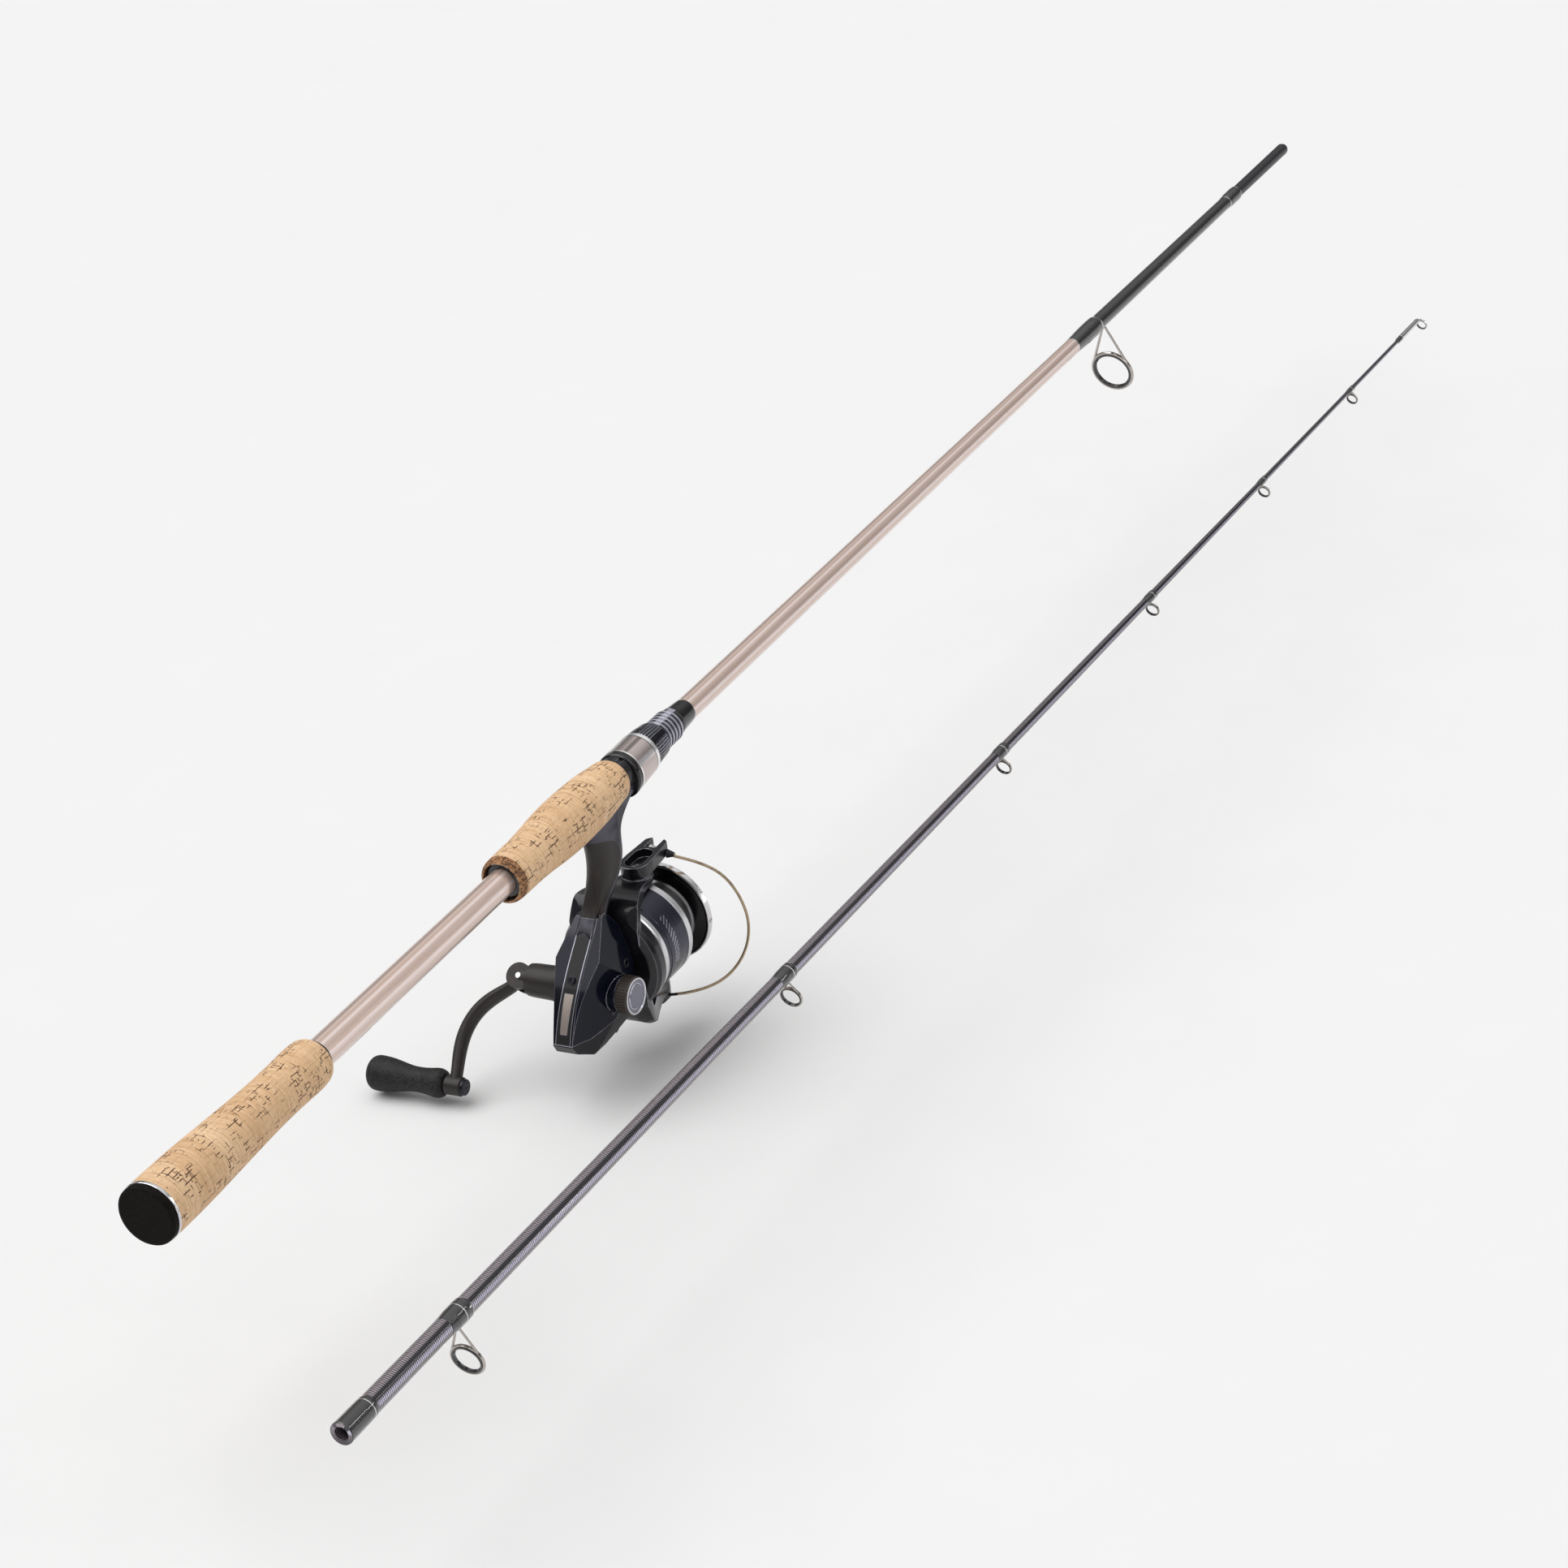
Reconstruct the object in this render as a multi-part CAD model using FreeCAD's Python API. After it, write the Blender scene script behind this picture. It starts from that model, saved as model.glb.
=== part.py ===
"""A two-piece spinning rod with its front-drag spinning reel, drawn with the two sections side by side.

Units are millimetres. The origin is the centre of the butt cap's end face, +X runs along the handle to the
tip, +Y is the angler's left, where the crank is, and +Z is up, so the reel hangs below the rod.
"""

import FreeCAD, Part
import math
import os
from FreeCAD import Matrix, Rotation, Vector

# ---------------------------------------------------------------- driving dimensions
# Butt section
BUTT_LENGTH = 1152.0
BLANK_START = 5.0
BLANK_STATIONS = [(BLANK_START, 7.7), (280.0, 6.64), (460.0, 5.84), (866.0, 4.36), (1088.0, 3.45)]
BLANK_WALL = 1.2
SPIGOT_R = 3.2
SPIGOT_DEPTH = 45.0
REAR_GRIP_END = 131.3
FORE_GRIP_START = 290.5
FORE_GRIP_END = 391.5

# Reel seat
SEAT_R = 8.9
SEAT_START = 299.0
BARREL_END = 413.0
THREAD_ROOT_R = 7.15
THREAD_CREST_R = 8.0
THREAD_PITCH = 2.8
THREAD_END = 448.6
HOOD_START = 397.2
HOOD_END = 418.5
NUT_END = 431.7
NUT_COLLAR_BORE = 9.5
FIT = 0.06

# Reel, placed by its main shaft and its crank axis
SHAFT_Z = -83.6
CRANK_X = 350.0
CRANK_Z = -88.4
MAIN_SHAFT_R = 2.0
SHAFT_END = 428.0
CRANK_SHAFT_R = 2.6
HOUSING_FRONT = 364.4
HOUSING_WALL_SHARE = 0.11
SIDE_SEAM_Y = -5.0
LEVER_AT = (358.0, -2.0, -108.5)
ROTOR_BACK = 365.6
BAIL_PIVOT_X = 400.0
BAIL_WIRE_R = 0.7
ARM_TOP_R = 28.4
ARM_LOW_R = 33.0
FOLD_Y = 37.8
CAP_INNER_Y = -16.3
CAP_GROOVES = 40
BEARING_SEAT_R = 6.55
BEARING_SPAN = (10.6, 13.2)
SPOOL_R = 24.8
SPOOL_LIP_X = 420.5
KNOB_BOSS_Y = 55.0
GEAR_TEETH = 52
GEAR_R = 9.6
SMALL_GEAR_R = 4.72
PINION_TEETH = 10
SMALL_TEETH = 22
GEAR_FACE_Y = -4.5
OSCILLATION_X = 344.0
OSCILLATION_Z = -80.4
OSCILLATION_PIN = (-2.4, 2.68)
OSCILLATION_SHAFT_R = 1.6
CRANK_RADIUS = 55.0
CRANK_ANGLE = math.radians(226.5)

# The stem's level outlines: z, rear x, front x, half width, and how flat its rear is
STEM_LEVELS = [
    (-7.0, 349.0, 396.5, 7.5, 0.2),
    (-11.0, 355.0, 391.5, 7.4, 0.1),
    (-16.5, 360.6, 385.2, 7.2, 0.0),
    (-24.0, 363.4, 383.0, 7.0, 0.0),
    (-32.0, 363.2, 382.2, 6.8, 0.0),
    (-39.0, 361.2, 379.0, 6.3, 0.1),
    (-45.5, 358.8, 372.6, 5.8, 0.5),
    (-51.0, 355.8, 366.2, 5.4, 0.9),
    (-57.0, 350.8, 362.0, 5.8, 1.0),
    (-62.0, 347.6, 361.0, 6.2, 1.0),
]

# Tip section, lying beside the butt section
TIP_LENGTH = 1095.0
TIP_X = -70.5
TIP_Y = -133.1
TIP_Z = -33.7
SOCKET_R = 3.27
SOCKET_DEPTH = 66.0
TIP_STATIONS = [(0.0, 5.0), (112.0, 4.47), (356.0, 3.52), (665.0, 2.4), (925.0, 1.24), (1080.0, 0.9)]

# Guides: x of the ring, ring outer radius, ring hole radius, drop of the ring centre, wrap start, wrap end
STRIPPER = (923.0, 12.0, 9.2, 32.5, 881.0, 910.0)
TIP_GUIDES = [
    (91.7, 8.2, 5.9, 23.0, 79.0, 95.5),
    (376.8, 5.6, 4.2, 12.6, 366.0, 379.5),
    (591.1, 4.1, 3.1, 8.8, 583.0, 594.0),
    (756.4, 3.7, 2.8, 7.4, 749.0, 759.0),
    (890.2, 3.4, 2.5, 6.4, 883.5, 892.5),
    (1002.4, 3.2, 2.3, 5.7, 996.0, 1004.5),
]
GUIDE_LEAN = 11.0
FRAME_WALL_SHARE = 0.42
X_AXIS, Y_AXIS, Z_AXIS = Vector(1, 0, 0), Vector(0, 1, 0), Vector(0, 0, 1)


# ---------------------------------------------------------------- shape helpers
def station_radius(stations, x):
    """Radius of a tapered tube at x, from its list of (x, radius)."""
    for (x0, r0), (x1, r1) in zip(stations, stations[1:]):
        if x <= x1:
            return r0 + (r1 - r0) * (x - x0) / (x1 - x0)
    return stations[-1][1]


def between(stations, x0, x1):
    """The stations of a taper from x0 to x1, with its own radius at each end."""
    inner = [(x, r) for x, r in stations if x0 < x < x1]
    return [(x0, station_radius(stations, x0))] + inner + [(x1, station_radius(stations, x1))]


def vectors(points):
    """(x, r) pairs as points of the XZ plane."""
    return [Vector(x, 0, r) for x, r in points]


def turned(outer, inner=None, smooth=False, z=0.0):
    """A solid turned about a line along X from (x, radius) outlines; inner None means no bore."""
    inner = inner or [(outer[0][0], 0.0), (outer[-1][0], 0.0)]
    if smooth:
        curve = Part.BSplineCurve()
        curve.interpolate(vectors(outer))
        edges = [curve.toShape()]
    else:
        edges = list(Part.makePolygon(vectors(outer)).Edges)
    edges += Part.makePolygon([vectors(outer)[-1]] + vectors(inner)[::-1] + [vectors(outer)[0]]).Edges
    face = Part.Face(Part.Wire(Part.__sortEdges__(edges)))
    solid = face.revolve(Vector(0, 0, 0), X_AXIS, 360)
    solid.translate(Vector(0, 0, z))
    return solid


def rod_between(a, b, r):
    """A round bar from point a to point b."""
    return Part.makeCylinder(r, (b - a).Length, a, b - a)


def bar_path(points, r):
    """A round bar through points: straight runs with a ball at each turn."""
    pairs = list(zip(points, points[1:]))
    solid = rod_between(*pairs[0], r)
    for a, b in pairs[1:]:
        solid = solid.fuse(rod_between(a, b, r)).fuse(Part.makeSphere(r, a))
    return solid.removeSplitter()


def swept_bar(points, r):
    """A round bar swept along a smooth curve through points."""
    curve = Part.BSplineCurve()
    curve.interpolate(points)
    path = Part.Wire([curve.toShape()])
    start = Part.Wire([Part.makeCircle(r, points[0], curve.tangent(0)[0])])
    return path.makePipeShell([start], True, True)


def outline(points, smooth=()):
    """A closed wire through points; runs named in smooth as (first, last) are splines, the rest straight."""
    count = len(points)
    edges, i = [], 0
    while i < count:
        run = next((s for s in smooth if s[0] == i), None)
        if run:
            curve = Part.BSplineCurve()
            curve.interpolate([points[k % count] for k in range(run[0], run[1] + 1)])
            edges.append(curve.toShape())
            i = run[1]
        else:
            edges.append(Part.makeLine(points[i], points[(i + 1) % count]))
            i += 1
    return Part.Wire(edges)


def prism(points, direction, smooth=()):
    """A prism on a closed outline, reaching half of direction to each side of it."""
    face = Part.Face(outline(points, smooth))
    face.translate(direction * -0.5)
    return face.extrude(direction)


def box(x0, x1, y0, y1, z0, z1):
    return Part.makeBox(x1 - x0, y1 - y0, z1 - z0, Vector(x0, y0, z0))


def rounded_plate(x0, x1, half_width, z0, z1):
    """A plate with half-round ends, long in X."""
    centres = (x0 + half_width, x1 - half_width)
    middle = box(*centres, -half_width, half_width, z0, z1)
    ends = [Part.makeCylinder(half_width, z1 - z0, Vector(x, 0, z0)) for x in centres]
    return middle.fuse(ends).removeSplitter()


def tube_y(r_out, r_in, y0, y1, x=CRANK_X, z=CRANK_Z):
    """A round tube or disc along Y."""
    solid = Part.makeCylinder(r_out, y1 - y0, Vector(x, y0, z), Y_AXIS)
    if r_in:
        solid = solid.cut(Part.makeCylinder(r_in, y1 - y0, Vector(x, y0, z), Y_AXIS))
    return solid


def moved(solid, x=0.0, y=0.0, z=0.0):
    copy = solid.copy()
    copy.translate(Vector(x, y, z))
    return copy


def turned_about(solid, centre, axis, degrees):
    copy = solid.copy()
    copy.rotate(centre, axis, degrees)
    return copy


def edge_rounded(solid, radius, chosen):
    """The solid with the edges that chosen(edge) names rounded."""
    return solid.makeFillet(radius, [e for e in solid.Edges if chosen(e)])


def largest(shape):
    """The largest solid of a shape, without any slivers that a cut left."""
    return max(shape.Solids, key=lambda solid: solid.Volume)


def joined(solids):
    """Several separate solids as one group."""
    return Part.makeCompound(solids)


# ---------------------------------------------------------------- butt section
def butt_blank():
    """The tapered graphite tube of the butt section."""
    bore = [(x, r - BLANK_WALL) for x, r in BLANK_STATIONS]
    return turned(BLANK_STATIONS, bore)


def ferrule_spigot():
    """The male ferrule: its rear is glued in the blank's bore, and its front stands out."""
    mouth, mouth_r = BLANK_STATIONS[-1]
    inside = [(mouth - SPIGOT_DEPTH, 1.9), (mouth, mouth_r - BLANK_WALL - 0.02)]
    nose = [(mouth, SPIGOT_R), (BUTT_LENGTH - 2.0, SPIGOT_R), (BUTT_LENGTH - 0.6, SPIGOT_R - 0.5)]
    return turned(inside + nose + [(BUTT_LENGTH, SPIGOT_R - 1.3)])


def butt_cap():
    """A flat rubber cap on the end of the rear grip, with a rounded rim."""
    rim = [(0.0, 12.6), (0.35, 13.6), (1.1, 14.15), (3.2, 14.2)]
    return turned(rim)


def butt_cap_ring():
    """The thin metal trim ring between the cap and the cork."""
    return turned([(3.2, 14.45), (3.5, 14.6), (4.7, 14.6), (5.0, 14.45)])


def rear_grip():
    """Cork rear grip: tapers to a waist and flares before its rounded front edge."""
    profile = [(5.0, 14.4), (20.0, 14.3), (36.0, 13.9), (55.0, 13.1), (72.5, 12.3), (91.0, 11.66)]
    profile += [(108.0, 11.58), (119.0, 11.8), (126.5, 11.6), (130.3, 10.4), (REAR_GRIP_END, 8.8)]
    return turned(profile, between(BLANK_STATIONS, profile[0][0], REAR_GRIP_END), smooth=True)


def rear_grip_check():
    """The small winding check in front of the rear grip."""
    end = REAR_GRIP_END + 2.4
    outer = [(REAR_GRIP_END, 8.6), (end - 0.6, 8.3), (end, 7.7)]
    return turned(outer, between(BLANK_STATIONS, REAR_GRIP_END, end))


def foot_pocket(gap):
    """The room that the reel foot takes under the seat, grown by gap all round."""
    plate = rounded_plate(334.5 - gap, 404.6 + gap, 7.6 + gap, -20.0, 0.0)
    skin_r = SEAT_R + 2.2 + gap
    skin = turned([(330.0, skin_r), (410.0, skin_r)], [(330.0, SEAT_R), (410.0, SEAT_R)])
    return plate.common(skin)


def fore_grip():
    """Cork fore grip over the rear of the reel seat, with a slot below for the reel foot and stem."""
    start, end = FORE_GRIP_START, FORE_GRIP_END
    profile = [(start, 9.5), (start + 0.9, 10.7), (start + 4.0, 11.4), (start + 12.0, 11.55), (313.0, 11.65)]
    profile += [(323.0, 12.2), (334.0, 13.05), (347.0, 13.5), (361.0, 13.25), (376.0, 12.3), (386.0, 11.1)]
    profile += [(end - 1.0, 10.2), (end, 9.6)]
    bore = [(start, 9.4), (start + 5.5, 9.4), (start + 5.5, station_radius(BLANK_STATIONS, start + 5.5))]
    bore += [(SEAT_START, station_radius(BLANK_STATIONS, SEAT_START)), (SEAT_START, SEAT_R), (end, SEAT_R)]
    grip = turned(profile, bore, smooth=True)
    slot = rounded_plate(334.0, 430.0, 7.9, -30.0, -SEAT_R * 0.2)
    cutter = turned([(330.0, 20.0), (400.0, 20.0)], [(330.0, SEAT_R), (400.0, SEAT_R)])
    return grip.cut(slot.common(cutter))


def fore_grip_collar():
    """A black cone-faced collar recessed in the rear end of the fore grip."""
    start = FORE_GRIP_START
    outer = [(start + 1.2, 7.3), (start + 1.7, 9.0), (start + 2.3, 9.35), (start + 5.4, 9.35)]
    return turned(outer, between(BLANK_STATIONS, start + 1.2, start + 5.4))


def reel_seat():
    """The seat barrel with its threaded front end: a helical thread crossed by a flat rib along the top."""
    outer = [(SEAT_START, SEAT_R), (BARREL_END - 0.8, SEAT_R), (BARREL_END, SEAT_R - 0.8)]
    outer += [(BARREL_END, THREAD_ROOT_R), (THREAD_END, THREAD_ROOT_R)]
    barrel = turned(outer, between(BLANK_STATIONS, SEAT_START, THREAD_END))
    ridges = []
    crest, root = THREAD_CREST_R, THREAD_ROOT_R - 0.1
    x = BARREL_END + 1.5
    while x < THREAD_END - 1.5:
        ridges.append(turned([(x - 0.95, root), (x - 0.4, crest), (x + 0.4, crest), (x + 0.95, root)],
                             [(x - 0.95, root - 0.5), (x + 0.95, root - 0.5)]))
        x += THREAD_PITCH
    rib = box(BARREL_END, THREAD_END, -1.6, 1.6, THREAD_ROOT_R - 1.0, THREAD_CREST_R - 0.15)
    rib.rotate(Vector(0, 0, 0), X_AXIS, 12)
    seat = barrel.fuse(ridges + [rib])
    groove = box(FORE_GRIP_END + 1.5, BARREL_END + 1, -1.0, 1.0, SEAT_R - 0.7, SEAT_R + 1)
    groove.rotate(Vector(0, 0, 0), X_AXIS, 22)
    return seat.cut(groove)


def seat_hood():
    """The black bell of the moving hood: it runs on the barrel and caps the front of the reel foot."""
    rim = Part.makeCylinder(11.45, 3.4, Vector(HOOD_START, 0, -1.8), X_AXIS)
    rim = edge_rounded(rim, 1.1, lambda e: e.Curve.TypeId == "Part::GeomCircle")
    neck = Part.makeLoft([
        Part.Wire([Part.makeCircle(10.95, Vector(HOOD_START + 1.0, 0, -1.5), X_AXIS)]),
        Part.Wire([Part.makeCircle(10.5, Vector(HOOD_END - 0.4, 0, -0.45), X_AXIS)]),
    ], True, True)
    bore = Part.makeCylinder(SEAT_R + FIT, 40, Vector(HOOD_START - 5, 0, 0), X_AXIS)
    counterbore = Part.makeCylinder(NUT_COLLAR_BORE, 8, Vector(HOOD_END - 3.2, 0, 0), X_AXIS)
    return rim.fuse(neck).cut(bore).cut(counterbore).cut(foot_pocket(0.3))


def hood_band():
    """The polished band round the hood, between the black rim and the nut."""
    start = HOOD_START + 3.6
    outer = Part.makeLoft([
        Part.Wire([Part.makeCircle(11.35, Vector(start, 0, -1.55), X_AXIS)]),
        Part.Wire([Part.makeCircle(11.1, Vector(start + 8.0, 0, -1.1), X_AXIS)]),
        Part.Wire([Part.makeCircle(10.8, Vector(HOOD_END - 0.4, 0, -0.45), X_AXIS)]),
    ], True, False)
    inner = Part.makeLoft([
        Part.Wire([Part.makeCircle(10.95, Vector(HOOD_START + 1.0, 0, -1.5), X_AXIS)]),
        Part.Wire([Part.makeCircle(10.5, Vector(HOOD_END - 0.4, 0, -0.45), X_AXIS)]),
    ], True, True)
    return outer.cut(inner)


def seat_nut():
    """The fluted lock nut: its collar sits in the hood, and grooves run along it in groups of five."""
    collar_start = HOOD_END - 2.8
    collar_r = NUT_COLLAR_BORE - FIT
    outer = [(collar_start, collar_r), (HOOD_END, collar_r), (HOOD_END, 9.7), (HOOD_END + 0.5, 10.0)]
    outer += [(HOOD_END + 5.0, 9.9), (NUT_END - 0.9, 9.1), (NUT_END, 8.6)]
    bore = [(collar_start, THREAD_CREST_R + FIT), (NUT_END, THREAD_CREST_R + FIT)]
    nut = turned(outer, bore)
    grooves = []
    for group in range(6):
        for line in range(5):
            angle = group * 60.0 + line * 8.6
            groove = box(HOOD_END + 1.6, NUT_END + 1, -0.32, 0.32, 9.05, 12.0)
            grooves.append(turned_about(groove, Vector(0, 0, 0), X_AXIS, angle))
    return nut.cut(grooves)


def seat_check():
    """The gloss-black winding check and thread wrap in front of the seat thread."""
    end = THREAD_END + 12.6
    blank_r = station_radius(BLANK_STATIONS, end)
    outer = [(THREAD_END, 6.95), (THREAD_END + 0.5, 7.1), (THREAD_END + 4.0, 6.75)]
    outer += [(end - 1.0, blank_r + 0.3), (end, blank_r + 0.05)]
    return turned(outer, between(BLANK_STATIONS, THREAD_END, end))


def hook_keeper():
    """A small wire loop under the check, for parking the hook."""
    x, top, drop, half = THREAD_END + 2.6, -6.6, 2.2, 1.7
    legs = [Vector(x - half, 0, top), Vector(x - half, 0, top - drop), Vector(x, 0, top - drop - 0.8)]
    legs += [Vector(x + half, 0, top - drop), Vector(x + half, 0, top)]
    return bar_path(legs, 0.45)


def wrap(stations, start, end, build, rear_share=0.3):
    """A varnished thread wrap round a blank, thicker in the middle and drawn out at its ends."""
    length = end - start
    marks = [(0.0, 0.04), (rear_share, 0.8), (0.75, 1.0), (0.93, 0.85), (1.0, 0.15)]
    outer = [(start + length * t, station_radius(stations, start + length * t) + build * h) for t, h in marks]
    return turned(outer, between(stations, start, end))


def guide_frame(x, r_out, r_hole, drop, blank_r, foot_start, wire):
    """A single-foot guide frame: a foot strip under the blank, two legs and the leaning outer ring."""
    ring_wall = (r_out - r_hole) * FRAME_WALL_SHARE
    centre = Vector(x, 0, -drop)
    ring = turned([(-wire, r_out - 0.25 * ring_wall), (0.0, r_out), (wire, r_out - 0.25 * ring_wall)],
                  [(-wire, r_out - ring_wall), (wire, r_out - ring_wall)])
    ring = turned_about(moved(ring, x, 0, -drop), centre, Y_AXIS, -GUIDE_LEAN)
    root = Vector(x - drop * math.tan(math.radians(GUIDE_LEAN)) * 0.75, 0, -blank_r - wire)
    lean = Rotation(Y_AXIS, -GUIDE_LEAN)
    legs = rod_between(Vector(foot_start, 0, root.z), root, wire * 0.85)
    for side in (-1, 1):
        angle = math.radians(52)
        grip = Vector(0, side * math.sin(angle), math.cos(angle)) * (r_out - ring_wall * 0.4)
        foot_point = root + Vector(0, side * wire * 0.6, 0)
        legs = legs.fuse([rod_between(foot_point, centre + lean.multVec(grip), wire * 0.8),
                          Part.makeSphere(wire * 0.8, foot_point)])
    normal = lean.multVec(X_AXIS)
    hole = Part.makeCylinder(r_out - ring_wall + 0.01, 12.0, centre - normal * 6.0, normal)
    return ring.fuse(legs.cut(hole))


def guide_ring(x, r_out, r_hole, drop, width):
    """The ceramic ring held in a guide frame, rounded where the line runs."""
    r_seat = r_out - (r_out - r_hole) * FRAME_WALL_SHARE
    edge_r = r_hole + 0.35 * (r_seat - r_hole)
    outer = [(-width, r_seat - 0.05), (width, r_seat - 0.05)]
    bore = [(-width, edge_r), (-width * 0.45, r_hole), (width * 0.45, r_hole), (width, edge_r)]
    ring = moved(turned(outer, bore), x, 0, -drop)
    ring.rotate(Vector(x, 0, -drop), Y_AXIS, -GUIDE_LEAN)
    return ring


def butt_section():
    x, r_out, r_hole, drop, wrap_start, wrap_end = STRIPPER
    blank_r = station_radius(BLANK_STATIONS, wrap_end)
    mouth = BLANK_STATIONS[-1][0]
    frame = guide_frame(x, r_out, r_hole, drop, blank_r, wrap_end - 3.0, 0.85)
    ring = guide_ring(x, r_out, r_hole, drop, 1.1)
    return {
        "butt_blank": butt_blank(),
        "ferrule_spigot": ferrule_spigot(),
        "butt_cap": butt_cap(),
        "butt_cap_ring": butt_cap_ring(),
        "rear_grip": rear_grip(),
        "rear_grip_check": rear_grip_check(),
        "fore_grip": fore_grip(),
        "fore_grip_collar": fore_grip_collar(),
        "reel_seat": reel_seat(),
        "seat_hood": seat_hood(),
        "hood_band": hood_band(),
        "seat_nut": seat_nut(),
        "seat_check": seat_check(),
        "hook_keeper": hook_keeper().cut(seat_check()),
        "stripper_wrap": wrap(BLANK_STATIONS, wrap_start, wrap_end, 0.75, rear_share=0.45).cut(frame),
        "stripper_frame": frame,
        "stripper_ring": ring,
        "ferrule_wrap": wrap(BLANK_STATIONS, mouth - 16.0, mouth, 0.55),
    }


# ---------------------------------------------------------------- tip section
def tip_blank():
    """The tip section's tapered blank, bored at its rear end for the male ferrule."""
    bore = [(0.0, SOCKET_R), (SOCKET_DEPTH, SOCKET_R), (SOCKET_DEPTH, 0.0), (TIP_STATIONS[-1][0], 0.0)]
    return turned(TIP_STATIONS, bore)


def socket_wrap():
    """The reinforcing wrap round the mouth of the tip section."""
    end = 21.0
    outer = [(0.0, 5.25), (0.5, 5.42), (14.0, 5.3), (end - 1.5, 5.2)]
    outer += [(end, station_radius(TIP_STATIONS, end) + 0.05)]
    return turned(outer, between(TIP_STATIONS, 0.0, end))


def tip_top():
    """The tip-top: a tube glued over the end of the blank, with a small leaning ring frame below it."""
    end = TIP_STATIONS[-1][0]
    start, nose = end - 13.0, TIP_LENGTH - 4.5
    bore = [(start, station_radius(TIP_STATIONS, start)), (end, 0.9), (end, 0.0), (nose, 0.0)]
    tube = turned([(start, 1.45), (start + 0.5, 1.5), (nose - 1.0, 1.35), (nose, 1.1)], bore)
    frame = guide_frame(TIP_LENGTH + 0.5, 3.1, 2.2, 4.6, 0.9, TIP_LENGTH - 6.0, 0.42)
    return tube.fuse(frame)


def tip_section():
    build = {}
    rings = []
    wraps = []
    for number, (x, r_out, r_hole, drop, wrap_start, wrap_end) in enumerate(TIP_GUIDES, 1):
        blank_r = station_radius(TIP_STATIONS, wrap_end)
        wire = 0.32 + 0.045 * r_out
        frame = guide_frame(x, r_out, r_hole, drop, blank_r, wrap_end - 4.0, wire)
        ring = guide_ring(x, r_out, r_hole, drop, 0.45 + 0.07 * r_out)
        build[f"guide_frame_{number}"] = frame
        rings.append(ring)
        build_up = 0.28 + 0.075 * blank_r
        wraps.append(wrap(TIP_STATIONS, wrap_start, wrap_end, build_up, rear_share=0.35).cut(frame))
    tip_end = TIP_STATIONS[-1][0]
    wraps.append(wrap(TIP_STATIONS, tip_end - 18.0, tip_end - 13.1, 0.5))
    build["guide_rings"] = joined(rings)
    build["guide_wraps"] = joined(wraps)
    build["tip_blank"] = tip_blank()
    build["socket_wrap"] = socket_wrap()
    build["tip_top_ring"] = guide_ring(TIP_LENGTH + 0.5, 3.1, 2.2, 4.6, 0.55)
    build["tip_top"] = tip_top()
    return {name: moved(solid, TIP_X, TIP_Y, TIP_Z) for name, solid in build.items()}


# ---------------------------------------------------------------- reel housing
def housing_blank():
    """The outer form of the reel housing: where its side, top and rear outlines meet."""
    side = [Vector(x, 0, z) for x, z in [
        (HOUSING_FRONT, -60.5), (361.0, -54.0), (356.5, -51.5), (347.5, -60.5), (334.5, -73.5),
        (322.5, -90.0), (317.5, -101.0), (320.5, -105.5), (330.0, -110.5), (341.0, -111.0),
        (354.0, -108.5), (HOUSING_FRONT, -106.0)]]
    top = [Vector(x, y, -80.0) for x, y in [
        (HOUSING_FRONT, -14.4), (356.0, -14.4), (347.0, -13.2), (336.0, -10.0), (325.0, -6.6), (314.0, -4.6),
        (314.0, 4.6), (325.0, 6.6), (336.0, 10.0), (347.0, 13.2), (356.0, 14.2), (HOUSING_FRONT, 14.2)]]
    rear = [Vector(340.0, y, z) for y, z in [
        (-5.0, -46.0), (-8.2, -57.0), (-11.6, -67.5), (-14.2, -79.0), (-14.4, -90.0), (-12.8, -99.0),
        (-7.0, -113.0), (7.0, -113.0), (12.8, -99.0), (14.2, -90.0), (14.0, -79.0), (11.4, -67.5),
        (8.0, -57.0), (5.0, -46.0)]]
    body = prism(side, Vector(0, 60, 0), smooth=((2, 6),))
    body = body.common(prism(top, Vector(0, 0, 90), smooth=((0, 5), (6, 11))))
    return body.common(prism(rear, Vector(90, 0, 0), smooth=((0, 6), (7, 13))))


def shrunk(solid, share):
    """The solid scaled towards the middle of its own box, for the cavity of a shell."""
    b = solid.BoundBox
    centre = b.Center
    scale = Matrix()
    scale.move(centre * -1)
    scale.scale(1 - share, 1 - share, 1 - share)
    scale.move(centre)
    return solid.transformGeometry(scale)


def stem_section(z, rear, front, half_width, flatness):
    """One level outline of the stem: a nose to the rear, rounder or flatter, and a flat face in front."""
    deep = front - rear
    side = [(front, 0.80), (front - 1.2, 0.98), (front - 0.35 * deep, 0.97),
            (rear + (0.30 - 0.12 * flatness) * deep, 0.80),
            (rear + (0.085 - 0.06 * flatness) * deep, 0.46 + 0.34 * flatness)]
    right = [Vector(x, -half_width * share, z) for x, share in side]
    left = [Vector(x, half_width * share, z) for x, share in side[::-1]]
    curve = Part.BSplineCurve()
    curve.interpolate(right + [Vector(rear, 0, z)] + left, PeriodicFlag=True)
    return Part.Wire([curve.toShape()])


def stem_solid():
    """The stem and foot: the foot is bent to the seat barrel, and the stem leans back to the housing."""
    lower = Part.makeLoft([stem_section(*level) for level in STEM_LEVELS], True, False)
    below_seat = Part.makeCylinder(SEAT_R + 0.05, 120, Vector(320, 0, 0), X_AXIS)
    stem = lower.common(rounded_plate(334.6, 460.0, 7.55, -120.0, 0.0))
    return stem.cut(below_seat).fuse(foot_pocket(-0.05))


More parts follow.
